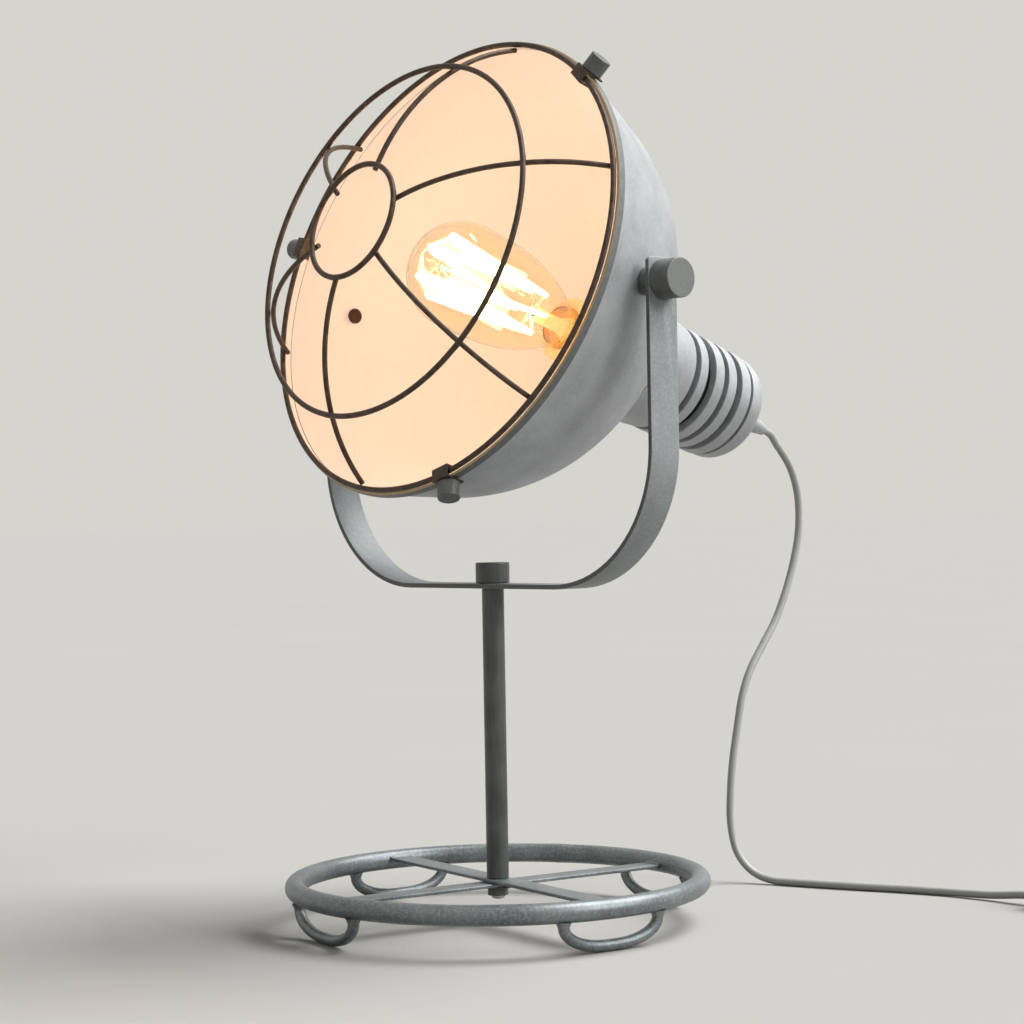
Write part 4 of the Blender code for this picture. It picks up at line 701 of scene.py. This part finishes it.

# Blackened steel, satin: the fasteners are turned from bar and chemically darkened to a dark grey, with turning
# marks about 0.6 mm apart. The knobs' lighter faces are a painted highlight, in a material of their own.
dark_steel = new_material("blackened_steel", {"Metallic": 0.25, "Roughness": 0.46})
clouds = noise(dark_steel, 260.0, 4.0)
grain = noise(dark_steel, 1700.0)
share = stretch(dark_steel, clouds, 0.3, 0.7)
tones(dark_steel, share, "#6A6C69", "#7E807D")
gloss(dark_steel, clouds, 0.34, 0.52)
relief(dark_steel, grain, 0.2, 0.0002)
refine("washer", "base_washer", dark_steel, "dark_metal", "base")
refine("nut", "base_nut", dark_steel, "dark_metal", "base")
refine("rod", "stem_rod", bright_steel, "bright_metal", "base")


# Yoke: a 22 by 2.8 mm flat steel bar bent to a U round the shade, its arm tips cut square with small round
# corners and drilled for the pivots. The bar is galvanised after bending. Its narrow slit edges are painted darker
# than its faces, a painted shade.
pale_zinc = zinc_coat("pale_zinc_coating", "#9DA3A6", "#B2B8BA", "#C9CECF", 0.25, 0.5)
# Painted shade: a darker copy of the yoke's zinc for the bar's narrow edges.
edge_zinc_painted_shade = zinc_coat("dark_edge_coating", "#5E605F", "#767877", "#8E908F", 0.25, 0.5)
YOKE_HEIGHT = 0.198
YOKE_HALF_SPAN = 0.141389
YOKE_WIDTH = 0.022
YOKE_THICKNESS = 0.0028
YOKE_BEND = 0.078
YOKE_TIP_RISE = 0.0012
YOKE_TIP_ROUND = 0.0025
PIVOT_BORE = 0.0028
STEM_BORE = 0.0043
NEAR = 0.0001
MIRROR_MERGE = 0.00001
FLAT = 0.9
yoke_side = YOKE_HALF_SPAN - YOKE_THICKNESS / 2
bend_x = yoke_side - YOKE_BEND
bend_z = YOKE_HEIGHT + YOKE_BEND
tip_z = PIVOT_HEIGHT + YOKE_TIP_RISE + YOKE_WIDTH / 2


def strip(name, middle, length, width):
    """A flat upright strip, at its place and size, to shape into a bent part."""
    piece = start(name, bpy.ops.mesh.primitive_plane_add, size=1.0, location=middle, rotation=(0, math.pi / 2, 0))
    piece.scale = (length, width, 1)
    bpy.ops.object.transform_apply()
    return piece


def coat_faces(piece, made, test):
    """Gives the faces that pass a test one more material. The piece is the active one."""
    piece.data.materials.append(made)
    pick("FACE", test)
    piece.active_material_index = len(piece.data.materials) - 1
    bpy.ops.object.material_slot_assign()
    leave()


yoke = strip("yoke_bar", (0, STEM_Y, YOKE_HEIGHT), YOKE_THICKNESS, YOKE_WIDTH)
edit_all()
pull(bend_x, 0, 0)
bpy.ops.mesh.spin(steps=24, angle=math.pi / 2, center=(bend_x, STEM_Y, bend_z), axis=(0, 1, 0))
pull(0, 0, tip_z - bend_z)
pick("EDGE", lambda middle, edge: abs(middle.z - tip_z) < NEAR and abs(middle.y - STEM_Y) > YOKE_WIDTH / 2 - NEAR)
bpy.ops.mesh.bevel(offset=YOKE_TIP_ROUND, segments=5, affect="EDGES")
pick("FACE", lambda middle, face: abs(middle.x) < MIRROR_MERGE)
bpy.ops.mesh.delete(type="FACE")
leave()
modify(yoke, "MIRROR", merge_threshold=MIRROR_MERGE)
edit_all()
close_up()
for radius, length, height, turn in ((PIVOT_BORE, 0.3, PIVOT_HEIGHT, math.pi / 2), (STEM_BORE, 0.02, YOKE_HEIGHT, 0)):
    drill = start(
        "drill", bpy.ops.mesh.primitive_cylinder_add, vertices=32, radius=radius, depth=length,
        location=(0, STEM_Y, height), rotation=(0, turn, 0),
    )
    carve(yoke, drill)
round_edges(yoke, 0.00045, 3, 40)
finish(yoke, pale_zinc, "galvanised_metal", "yoke", "yoke")
# The narrow edges take the painted shade.
coat_faces(yoke, edge_zinc_painted_shade, lambda middle, face: abs(face.normal.y) > FLAT)


# Collar nut: a turned steel cap nut, 20 mm across, that clamps the yoke down on the stem. Its top edge is broken.
COLLAR_RADIUS = 0.010
COLLAR_LOW = 0.1997
COLLAR_HEIGHT = 0.012
COLLAR_DEPTH = 0.0085


def turned_head(name, bore, depth, radius, height, steps):
    """A turned nut or knob with a blind bore from below, or with a stub where the depth is below zero."""
    return lathe(name, [(0, depth), (bore, depth), (bore, 0), (radius, 0), (radius, height), (0, height)], steps)


collar = turned_head("collar_cap", STEM_BORE, COLLAR_DEPTH, COLLAR_RADIUS, COLLAR_HEIGHT, 64)
round_edges(collar, 0.0006, 3)
settle(collar, Matrix.Translation((0, STEM_Y, COLLAR_LOW)))
finish(collar, drawn_zinc, "galvanised_metal", "collar_nut", "collar_nut")


# Pivot knobs: two turned and blackened steel knobs outside the yoke, 22 mm across, that clamp the tilt. Their flat
# faces are painted lighter than their sides, a painted highlight where the light falls on them.
# Painted highlight: the knobs' flat faces are a lighter copy of the blackened steel.
knob_face_painted_light = new_material("rubbed_steel_face", {"Metallic": 0.25, "Roughness": 0.45})
face_mottle = noise(knob_face_painted_light, 900.0, 3.0)
tones(knob_face_painted_light, face_mottle, "#838684", "#9C9F9D")
KNOB_RADIUS = 0.011
KNOB_LENGTH = 0.0133
KNOB_DEPTH = 0.009
FINE_EDGE = 0.0002
knob = turned_head("knob", PIVOT_BORE, KNOB_DEPTH, KNOB_RADIUS, KNOB_LENGTH, 96)
round_edges(knob, 0.0005, 3)
for piece, name, side in zip(copies(knob, 2), ("right", "left"), (1, -1)):
    place = Matrix.Translation((side * (YOKE_HALF_SPAN + CONTACT_GAP), STEM_Y, PIVOT_HEIGHT))
    settle(piece, place @ Matrix.Rotation(side * math.pi / 2, 4, "Y"), f"knob_{name}")
    finish(piece, dark_steel, "dark_metal", f"pivot_knob_{name}", f"pivot_knob_{name}")
    # The flat faces take the painted highlight.
    coat_faces(piece, knob_face_painted_light, lambda middle, face: abs(face.normal.x) > FLAT)

# Pivot bolts and spacers: each arm carries the shade on a bolt from inside, through a round spacer cut to the
# slope of the shade. They are the plain source shapes with their edges broken.
oiled_steel = new_material("oil_browned_bolt", {"Metallic": 0.5, "Roughness": 0.4})
scale = noise(oiled_steel, 500.0, 3.0)
tones(oiled_steel, scale, "#35201A", "#583A2C")
for side in ("right", "left"):
    refine(f"bolt_{side}", f"pivot_bolt_{side}", oiled_steel, "dark_metal", "head", FINE_EDGE)
    refine(f"spacer_{side}", f"pivot_spacer_{side}", dark_steel, "galvanised_metal", "head")


# Shade: one piece of 1 mm aluminium spun to a deep bell, with a straight skirt, a round shoulder and a cone that
# enters the neck. It is dulled grey outside and sprayed white inside, and the lit bulb floods the inside.
RIM_AXIAL = 0.040
RIM_RADIUS = 0.1394
SHADE_WALL = 0.001
SKIRT_SLOPE = math.radians(16)
SHOULDER_AXIAL = -0.008
SHOULDER_BEND = 0.115
CONE_SLOPE = math.radians(48)
MOUTH_RADIUS = 0.0377
SHOULDER_STEPS = 18
HEM_REAR = 0.0358
HEAD_PLACE = Matrix.Translation(head_place(0)) @ Matrix.Rotation(math.pi / 2 - HEAD_TILT, 4, "X")


def head_coordinates(made):
    """Object coordinates laid along the head's axis."""
    place = add_node(made, "ShaderNodeTexCoord", {}, "Object")
    turned = {"Vector": place, "Location": head_place(0), "Rotation": (math.pi / 2 - HEAD_TILT, 0, 0)}
    return add_node(made, "ShaderNodeMapping", turned, vector_type="TEXTURE")


# Spun aluminium with a grey antique finish: a fine blasted grain of 1 to 2 mm, drawn out a little round the bell
# by rubbing back, over soft clouds 20 mm wide. The grey coat hides part of the metal.
spun = new_material("rubbed_spun_aluminium", {"Metallic": 0.4, "Roughness": 0.55})
on_axis = head_coordinates(spun)
round_ways = add_node(spun, "ShaderNodeMapping", {"Vector": on_axis, "Scale": (420.0, 420.0, 1100.0)})
brushing = noise(spun, 1.0, 3.0, round_ways)
clouds = noise(spun, 50.0, 5.0, on_axis)
cloud_share = stretch(spun, clouds, 0.3, 0.7)
tone = tones(spun, cloud_share, "#B9BDC0", "#CFD3D6", [])
brush_share = stretch(spun, brushing, 0.45, 0.75, 0.6)
tones(spun, brush_share, tone, "#DDE0E3")
gloss(spun, brushing, 0.48, 0.64)
relief(spun, brushing, 0.15, 0.0003)

# White stove enamel, sprayed, with a faint orange-peel 4 mm wide. The bulb's light on it is painted in as an even
# warm cream glow, with painted shade that makes it a little deeper towards the cone.
enamel = new_material("lit_white_enamel", {"Roughness": 0.5, "IOR": 1.5, "Emission Strength": 1.0})
on_axis = head_coordinates(enamel)
split_up = add_node(enamel, "ShaderNodeSeparateXYZ", {"Vector": on_axis}, "Z")
# Painted shade: the painted glow runs a little darker and deeper towards the cone.
depth = stretch(enamel, split_up, -0.11, -0.03)
peel = noise(enamel, 250.0, 1.0, on_axis)
tones(enamel, depth, "#D1B095", "#D6B7A2", ["Emission Color"])
tones(enamel, peel, "#9F9688", "#A79E90")
relief(enamel, peel, 0.1, 0.0004)

outer = []
front = HEM_REAR - CONTACT_GAP
outer.append((RIM_RADIUS - (RIM_AXIAL - front) * math.tan(SKIRT_SLOPE), front, SKIRT_SLOPE))
shoulder_radius = RIM_RADIUS - (RIM_AXIAL - SHOULDER_AXIAL) * math.tan(SKIRT_SLOPE)
for i in range(SHOULDER_STEPS + 1):
    slope = SKIRT_SLOPE + (CONE_SLOPE - SKIRT_SLOPE) * i / SHOULDER_STEPS
    outer.append((
        shoulder_radius - SHOULDER_BEND * (math.cos(SKIRT_SLOPE) - math.cos(slope)),
        SHOULDER_AXIAL - SHOULDER_BEND * (math.sin(slope) - math.sin(SKIRT_SLOPE)), slope,
    ))
cone_radius, cone_axial, slope = outer[-1]
outer.append((MOUTH_RADIUS, cone_axial - (cone_radius - MOUTH_RADIUS) / math.tan(CONE_SLOPE), CONE_SLOPE))
inner = [
    (radius - SHADE_WALL * math.cos(slope), axial + SHADE_WALL * math.sin(slope))
    for radius, axial, slope in reversed(outer)
]
outline = [(radius, axial) for radius, axial, slope in outer] + inner
shade = lathe("bell", outline + outline[:1], 192)
give(shade, spun)
coat_faces(shade, enamel, lambda middle, face: face.normal.xy.dot(middle.xy) < 0)
settle(shade, HEAD_PLACE)
finish(shade, spun, "spun_aluminium", "head", "shade")

# Rim: the shade's front edge folded over into a flat hem, 5 mm deep and 2.4 mm thick, which stiffens it. Outside
# it is painted a darker grey than the shade, a painted shade; its inside took the enamel, and its front edge is
# painted a warm tan that glows a little, the bulb's light painted on it.
HEM_INSIDE = 0.1374
HEM_OUTSIDE = 0.13974
HEM_FRONT = 0.0408
HEM_FOLD = 0.0008
FORWARD = 0.6
BASE_AND_GLOW = ("Base Color", "Emission Color")
# Painted glow: the hem's front edge is a warm tan that emits a little, as if lit by the bulb.
edge_painted_glow = new_material("worn_enamel_edge", {"Roughness": 0.5, "IOR": 1.5, "Emission Strength": 0.3})
edge_mottle = noise(edge_painted_glow, 250.0, 4.0)
tones(edge_painted_glow, edge_mottle, "#A58C6C", "#C4A985", BASE_AND_GLOW)
# Painted shade: the hem's outside is a darker grey than the shade's own finish.
hem_painted_shade = new_material("grey_hem_band", {"Metallic": 0.3, "Roughness": 0.5})
hem_mottle = noise(hem_painted_shade, 300.0, 4.0)
tones(hem_painted_shade, hem_mottle, "#6E716F", "#949795")
rim = sleeve("folded_hem", HEM_INSIDE, HEM_OUTSIDE, HEM_REAR, HEM_FRONT, 192)
round_edges(rim, HEM_FOLD, 4)
give(rim, hem_painted_shade)
coat_faces(rim, enamel, lambda middle, face: middle.xy.length < HEM_INSIDE + HEM_FOLD / 2)
# The front faces take the painted glow.
coat_faces(rim, edge_painted_glow, lambda middle, face: face.normal.z > FORWARD)
settle(rim, HEAD_PLACE)
finish(rim, hem_painted_shade, "spun_aluminium", "head", "rim_bead")


# Grill: a wire guard over the shade's mouth. Three steel wire rings, 3.2 mm thick, are spot welded in front of six
# ribs of 3 mm wire, bent to one arc. It was browned before fitting, and the wires catch a pink-brown light.
GRILL_RINGS = (("outer", 0.137, 0.0427, 160), ("middle", 0.106, 0.081, 160), ("centre", 0.034, 0.10918, 80))
RING_WIRE = 0.0016
RIB_WIRE = 0.0015
RIB_TIP_RADIUS = 0.0315
RIB_HUB = (0.027078, -0.014575)
RIB_BOW = 0.120548
RIB_STEPS = 32
WELD_REACH = 1.9 * RING_WIRE
WIRE_SWELL = 0.00025
RIBS = 6
GRILL_TURN = math.radians(10.3)

# Browned mild steel wire: dark brown-grey, satin, with small rubbed patches 5 mm long.
browned = new_material("browned_steel_wire", {"Metallic": 0.5, "Roughness": 0.48})
patches = noise(browned, 200.0, 4.0)
share = stretch(browned, patches, 0.35, 0.7)
tones(browned, share, "#45382E", "#625246")
gloss(browned, patches, 0.38, 0.56)


for name, radius, axial, steps in GRILL_RINGS:
    ring = hoop(f"wire_ring_{name}", (0, 0, axial), radius, RING_WIRE, steps, 12)
    for i in range(RIBS):
        angle = math.pi / 2 - GRILL_TURN - math.tau * i / RIBS
        joint = Vector((math.cos(angle) * radius, math.sin(angle) * radius, axial))
        pick("VERT", lambda middle, vert: (middle - joint).length < WELD_REACH and middle.z < axial)
        bpy.ops.transform.shrink_fatten(value=WIRE_SWELL)
    leave()
    bpy.ops.object.shade_smooth()
    settle(ring, HEAD_PLACE)
    finish(ring, browned, "grill_wire", "head", f"grill_ring_{name}")

rib_low = math.atan2(GRILL_RINGS[0][2] - RIB_HUB[1], GRILL_RINGS[0][1] - RIB_HUB[0])
rib_high = math.acos((RIB_TIP_RADIUS - RIB_HUB[0]) / RIB_BOW)
rib_path = []
for i in range(RIB_STEPS + 1):
    swing = rib_low + (rib_high - rib_low) * i / RIB_STEPS
    rib_path.append(Vector((RIB_HUB[0] + RIB_BOW * math.cos(swing), 0, RIB_HUB[1] + RIB_BOW * math.sin(swing))))
rib = rod_mesh("wire_rib", rib_path, RIB_WIRE, 4)
for i, piece in enumerate(copies(rib, RIBS)):
    turn = math.pi / 2 - GRILL_TURN - math.tau * i / RIBS
    settle(piece, HEAD_PLACE @ Matrix.Rotation(turn, 4, "Z"), f"wire_rib_{i + 1}")
    finish(piece, browned, "grill_wire", "head", f"grill_rib_{i + 1}")


# Clips and thumb screws: three bent steel clips hook over the grill's outer wire and the rim, and a turned,
# blackened thumb screw through each one clamps it to the hem.
CLIPS = 3
CLIP_TURN = math.radians(40)
CLIP_WIDTH = 0.012
CLIP_THICKNESS = 0.0011
CLIP_OUTER = 0.1401
CLIP_INNER = 0.13468
CLIP_TOP = 0.0446
CLIP_OUTER_LENGTH = 0.012
CLIP_INNER_LENGTH = 0.0065
SCREW_RADIUS = 0.0063
SCREW_LENGTH = 0.0095
SCREW_SHANK = 0.0014
SCREW_SHANK_RADIUS = 0.0012
SCREW_AXIAL = 0.0388
clip = strip("clip", (CLIP_OUTER, 0, CLIP_TOP - CLIP_OUTER_LENGTH / 2), CLIP_OUTER_LENGTH, CLIP_WIDTH)
pick("EDGE", lambda middle, edge: middle.z > CLIP_TOP - NEAR)
pull(CLIP_INNER - CLIP_OUTER, 0, 0)
pull(0, 0, -CLIP_INNER_LENGTH)
close_up()
modify(clip, "SOLIDIFY", thickness=CLIP_THICKNESS, offset=1.0, use_even_offset=True)
round_edges(clip, 0.0003, 3)
screw = turned_head("thumb_knob", SCREW_SHANK_RADIUS, -SCREW_SHANK, SCREW_RADIUS, SCREW_LENGTH, 64)
round_edges(screw, 0.0004, 3)
pairs = [(clip, screw)] + [(copies(clip, 2)[1], copies(screw, 2)[1]) for i in range(1, CLIPS)]
for i, (clip, screw) in enumerate(pairs):
    place = HEAD_PLACE @ Matrix.Rotation(math.pi / 2 - CLIP_TURN - math.tau * i / CLIPS, 4, "Z")
    settle(clip, place, f"clip_{i + 1}")
    finish(clip, browned, "dark_metal", "head", f"grill_clip_{i + 1}")
    seat = Matrix.Translation((CLIP_OUTER + CLIP_THICKNESS + CONTACT_GAP, 0, SCREW_AXIAL))
    settle(screw, place @ seat @ Matrix.Rotation(math.pi / 2, 4, "Y"), f"thumb_knob_{i + 1}")
    finish(screw, dark_steel, "dark_metal", f"thumb_screw_{i + 1}", f"thumb_screw_{i + 1}")


# Neck: a spun aluminium cone behind the shade that carries the lampholder's tube in its floor. Inside it is
# enamelled white like the shade, and the bulb lights it as well.
NECK_FRONT = -0.110556
NECK_REAR = -0.146476
NECK_WALL = 0.0012
NECK_FRONT_RADIUS = 0.0395
NECK_REAR_RADIUS = 0.035
NECK_BORE = 0.0053
neck_floor = NECK_REAR + NECK_WALL
neck = lathe("neck_cone", [
    (NECK_FRONT_RADIUS, NECK_FRONT), (NECK_REAR_RADIUS, NECK_REAR), (NECK_BORE, NECK_REAR), (NECK_BORE, neck_floor),
    (NECK_REAR_RADIUS - NECK_WALL, neck_floor), (NECK_FRONT_RADIUS - NECK_WALL, NECK_FRONT),
    (NECK_FRONT_RADIUS, NECK_FRONT),
], 128)
round_edges(neck, 0.0004, 2)
give(neck, spun)
coat_faces(neck, enamel, lambda middle, face: face.normal.xy.dot(middle.xy) < 0 or (
    face.normal.z > FORWARD and middle.z < neck_floor + NECK_WALL))
settle(neck, HEAD_PLACE)
finish(neck, spun, "spun_aluminium", "head", "neck")

# Handle: a black plastic core with four aluminium fins slipped over it, 70 mm across, that keep the heat of the
# bulb off the hand. The fins have lightly broken edges, and the grooves between them are dark.
FIN_RADIUS = 0.035
CORE_RADIUS = 0.0288
CORE_BORE = 0.010
BANDS = ((0.005, 0.007), (0.0075, 0.008), (0.0045, 0.0075), (0.0055, 0.0085))
LAST_GROOVE = 0.003
bakelite = new_material("black_phenolic", {"Roughness": 0.6, "IOR": 1.5})
flow = noise(bakelite, 220.0, 5.0)
tones(bakelite, flow, "#141414", "#242423")
gloss(bakelite, flow, 0.52, 0.68)
band_front = NECK_REAR
for i, (groove, width) in enumerate(BANDS, 1):
    high = band_front - groove
    low = high - width
    fin = sleeve(f"fin_ring_{i}", CORE_RADIUS + CONTACT_GAP, FIN_RADIUS, low, high, 128)
    round_edges(fin, 0.0006, 3)
    settle(fin, HEAD_PLACE)
    finish(fin, spun, "spun_aluminium", "head", f"fin_{i}")
    band_front = low
cap_front = band_front - LAST_GROOVE
core = sleeve("core", CORE_BORE, CORE_RADIUS, cap_front + CONTACT_GAP, NECK_REAR - CONTACT_GAP, 96)
settle(core, HEAD_PLACE)
finish(core, bakelite, "black_plastic", "head", "handle_core")

# End cap: a turned aluminium cap with a short band and a shallow dome, bored for the cord's gland.
CAP_RADIUS = 0.0343
CAP_BAND = 0.005
CAP_DOME = 0.0155
CAP_STEPS = 16
CAP_WALL = 0.0025
CAP_HOLLOW = 0.018
LEAD_HOLE = 0.0027
GLAND_RADIUS = 0.0078
GLAND_TIP_RADIUS = 0.0036
GLAND_COLLAR = 0.004
cap_rear = cap_front - CAP_BAND - CAP_DOME
cap_wall_front = cap_rear + CAP_WALL
cap_outline = [(CAP_HOLLOW, cap_front), (CAP_RADIUS, cap_front)]
for i in range(CAP_STEPS + 1):
    swing = math.pi / 2 * i / CAP_STEPS
    reach = GLAND_RADIUS + (CAP_RADIUS - GLAND_RADIUS) * math.cos(swing)
    cap_outline.append((reach, cap_front - CAP_BAND - CAP_DOME * math.sin(swing)))
cap_outline += [(LEAD_HOLE, cap_rear), (LEAD_HOLE, cap_wall_front)]
cap_outline += [(CAP_HOLLOW, cap_wall_front), (CAP_HOLLOW, cap_front)]
cap = lathe("dome_cap", cap_outline, 128)
round_edges(cap, 0.0005, 3, 35)
settle(cap, HEAD_PLACE)
finish(cap, spun, "spun_aluminium", "head", "end_cap")

# Gland: a turned cone behind the cap, 31 mm long, that grips the cord and keeps it from kinking.
gland_front = cap_rear - CONTACT_GAP
gland = lathe("gland_cone", [
    (0, GLAND_TIP_AXIAL), (GLAND_TIP_RADIUS, GLAND_TIP_AXIAL), (GLAND_RADIUS, gland_front - GLAND_COLLAR),
    (GLAND_RADIUS, gland_front), (0, gland_front),
], 48)
round_edges(gland, 0.0006, 3, 8)
settle(gland, HEAD_PLACE)
finish(gland, spun, "spun_aluminium", "head", "cord_gland")


# Lampholder: a cream glazed screw-cap holder on a threaded steel tube, with the lead running back through it.
# The glaze is smooth with faint crazing 5 mm wide, and the bulb right in front of it makes it glow orange.
glaze = new_material("cream_glaze", {"Roughness": 0.3, "IOR": 1.5, "Emission Strength": 0.7})
crazing = noise(glaze, 200.0, 4.0)
tones(glaze, crazing, "#D98F4C", "#E9AC70", ["Emission Color"])
tones(glaze, crazing, "#CDB48C", "#DCC7A2")
refine("holder", "lampholder", glaze, "cream_glaze", "head")
refine("threaded_tube", "holder_tube", bright_steel, "bright_metal", "head")
refine("lead_inside", "inner_lead", sheath, "black_plastic", "head")


# Bulb: a pear-shaped decorative bulb of 64 mm in amber glass, blown thin, on a brass screw cap. Inside, a glass
# mount carries a squirrel-cage filament, which burns white-hot.
BULB_RADIUS = 0.032
BULB_CENTRE = 0.024023
BULB_NECK = 0.0125
BULB_WALL = 0.0008
CAP_MOUTH = -0.057977
CAP_FLOOR = -0.083977
NECK_SINK = 0.0085
TAPER_STEPS = 20
TAPER_POWER = 3
DOME_STEPS = 20


def glass_outline(inset):
    """The glass from its tip back to the end of its neck, drawn in by a wall."""
    outline = []
    for i in range(DOME_STEPS + 1):
        swing = math.pi / 2 * i / DOME_STEPS
        reach = BULB_RADIUS - inset
        outline.append((reach * math.sin(swing), BULB_CENTRE + reach * math.cos(swing)))
    for i in range(1, TAPER_STEPS + 1):
        share = i / TAPER_STEPS
        radius = BULB_RADIUS - (BULB_RADIUS - BULB_NECK) * share ** TAPER_POWER
        outline.append((radius - inset, BULB_CENTRE - (BULB_CENTRE - CAP_MOUTH) * share))
    outline.append((BULB_NECK - inset, CAP_MOUTH - NECK_SINK))
    return outline


# Amber glass, blown: clear and smooth, tinted honey, more so where the eye looks along the wall.
amber = new_material("blown_amber_glass", {"Roughness": 0.02, "IOR": 1.5, "Transmission Weight": 1.0})
tones(amber, noise(amber, 60.0), "#FFF6E4", "#FFF9EC")
glass = lathe("envelope", glass_outline(0) + list(reversed(glass_outline(BULB_WALL))), 96)
bpy.ops.object.shade_smooth_by_angle(angle=math.radians(60))
settle(glass, HEAD_PLACE)
finish(glass, amber, "amber_glass", "bulb", "bulb_glass")

# Glass mount: pressed lead glass, cloudy and seeded with bubbles, which the filament lights up orange.
lit_glass = new_material("lit_pressed_glass", {
    "Roughness": 0.3, "IOR": 1.5, "Transmission Weight": 0.3, "Emission Strength": 0.8,
})
seeds = noise(lit_glass, 450.0, 3.0)
tones(lit_glass, seeds, "#DE9A5C", "#F6CFA0", BASE_AND_GLOW)
refine("glass_mount", "bulb_mount", lit_glass, "amber_glass", "bulb", FINE_EDGE)
hooks = from_node("hooks", "filament_hooks")
bpy.ops.object.shade_smooth_by_angle(angle=math.radians(30))
finish(hooks, amber, "amber_glass", "bulb", "filament_hooks")

# Brass cap: rolled thin brass with a screw thread of 3.6 mm pitch and a lead contact at its foot. The filament
# shines on it through the glass, so it glows a little.
brass = new_material("rolled_brass", {"Metallic": 1.0, "Roughness": 0.3, "Emission Strength": 0.35})
tarnish = noise(brass, 300.0, 4.0)
tones(brass, tarnish, "#B98B4A", "#D8AE68", BASE_AND_GLOW)
gloss(brass, tarnish, 0.24, 0.4)
THREADS = 5
THREAD_STEPS = 8
THREAD_RADIUS = 0.0124
THREAD_DEPTH = 0.0006
THREAD_START = 0.003
THREAD_RUN = 0.018
CONTACT_RADIUS = 0.005
CONTACT_RISE = 0.002
CAP_FOOT_RADIUS = 0.0112
CAP_LIP_RADIUS = 0.0131
CAP_LIP = 0.003
BRASS_WALL = 0.0005
contact_foot = CAP_FLOOR - CONTACT_RISE
cap_outline = [(0, contact_foot), (CONTACT_RADIUS, contact_foot), (CONTACT_RADIUS, CAP_FLOOR)]
cap_outline.append((CAP_FOOT_RADIUS, CAP_FLOOR))
for i in range(THREADS * THREAD_STEPS + 1):
    swing = math.tau * i / THREAD_STEPS
    height = CAP_FLOOR + THREAD_START + THREAD_RUN * i / (THREADS * THREAD_STEPS)
    cap_outline.append((THREAD_RADIUS - THREAD_DEPTH * math.cos(swing), height))
cap_outline += [(CAP_LIP_RADIUS, CAP_MOUTH - CAP_LIP), (CAP_LIP_RADIUS, CAP_MOUTH)]
cap_outline += [(0.0128, CAP_MOUTH), (0.0128, CAP_FLOOR + 0.021), (CAP_FOOT_RADIUS, CAP_FLOOR + 0.0205)]
cap_outline += [(0.0108, CAP_FLOOR + BRASS_WALL), (0, CAP_FLOOR + BRASS_WALL)]
screw_cap = lathe("brass_cap", cap_outline, 64)
settle(screw_cap, HEAD_PLACE)
finish(screw_cap, brass, "brass", "bulb", "bulb_cap")

# Filament: drawn tungsten wire, wound to and fro between the hooks in a cage, white-hot and warm at its edges. Its
# strands are drawn as thick as their glare, which is wider at the front.
CAGE_FRONT_RADIUS = 0.018
CAGE_REAR_RADIUS = 0.014
CAGE_FRONT = 0.040024
CAGE_LENGTH = 0.075
STRAND_RADIUS = 0.0012
GLARE_SWELL = 1.0
CAGE_STRANDS = 6
glow = new_material("white_hot_tungsten", {"Roughness": 0.5, "Emission Strength": 14.0})
heat = noise(glow, 120.0)
tones(glow, heat, "#FFE2B0", "#FFF0CF", BASE_AND_GLOW)
bends = 2 * CAGE_STRANDS
cage_middle = CAGE_FRONT - CAGE_LENGTH / 2
cage = []
for i in range(2 * bends - 1):
    turn = math.tau * (i + 1) / (2 * bends)
    swing = math.cos(math.pi * i / 2)
    radius = (CAGE_FRONT_RADIUS + CAGE_REAR_RADIUS + (CAGE_FRONT_RADIUS - CAGE_REAR_RADIUS) * swing) / 2
    cage.append(Vector((radius * math.cos(turn), radius * math.sin(turn), cage_middle + CAGE_LENGTH / 2 * swing)))
cage_rear = CAGE_FRONT - CAGE_LENGTH
filament = rod_mesh(
    "filament_wire", smooth_path(cage, 0.002), STRAND_RADIUS, 3,
    swell=lambda place: 1 + GLARE_SWELL * (place.z - cage_rear) / CAGE_LENGTH,
)
settle(filament, HEAD_PLACE)
finish(filament, glow, "filament", "bulb", "filament")


# Floor: one pale sheet that runs out to the horizon. It isn't part of the object. What bounces off it is darker than
# what the camera, the metal and the glass see, as off a small sheet in a dim room.
FLOOR_SIZE = 120.0
FLOOR_DROP = 0.0002


def seen_share(made):
    """1 for what the camera sees, also in metal and through glass, and 0 for light that only bounces."""
    share = add_node(made, "ShaderNodeLightPath", {}, "Is Camera Ray")
    for ray in ("Is Transmission Ray", "Is Glossy Ray"):
        other = add_node(made, "ShaderNodeLightPath", {}, ray)
        share = add_node(made, "ShaderNodeMath", {0: share, 1: other}, operation="MAXIMUM")
    return share


floor = start("floor", bpy.ops.mesh.primitive_plane_add, size=FLOOR_SIZE, location=(0, 0, -FLOOR_DROP))
bpy.ops.object.transform_apply()
paper = new_material("pale_paper", {"Roughness": 0.9, "Specular IOR Level": 0.1})
tooth = noise(paper, 3.0)
tone = tones(paper, tooth, "#CFCDC8", "#D3D1CC", [])
tones(paper, seen_share(paper), "#6E6C69", tone)
give(floor, paper)

# Light: a dim soft room, a broad key from above and a little behind, and a weaker one from low on the right, as
# through a window. The camera, the metal and the glass see the room as pale as the floor.
world = bpy.data.worlds.new("room")
bpy.context.scene.world = world
world.use_nodes = True
backdrop = world.node_tree.nodes["Background"]
backdrop.inputs["Strength"].default_value = 1.0
room_tone = tones(world, seen_share(world), "#787877", "#D6D4CE", [])
world.node_tree.links.new(room_tone, backdrop.inputs["Color"])
for name, towards, strength, spread in (
    ("overhead_key", (0.3, 0.6, 1.0), 2.65, 40), ("window_light", (0.9, 0.35, 0.5), 1.0, 24),
):
    bpy.ops.object.light_add(type="SUN", location=towards)
    light = bpy.context.object
    light.name = name
    light.data.energy = strength
    light.data.angle = math.radians(spread)
    light.rotation_euler = Vector(towards).to_track_quat("Z", "Y").to_euler()
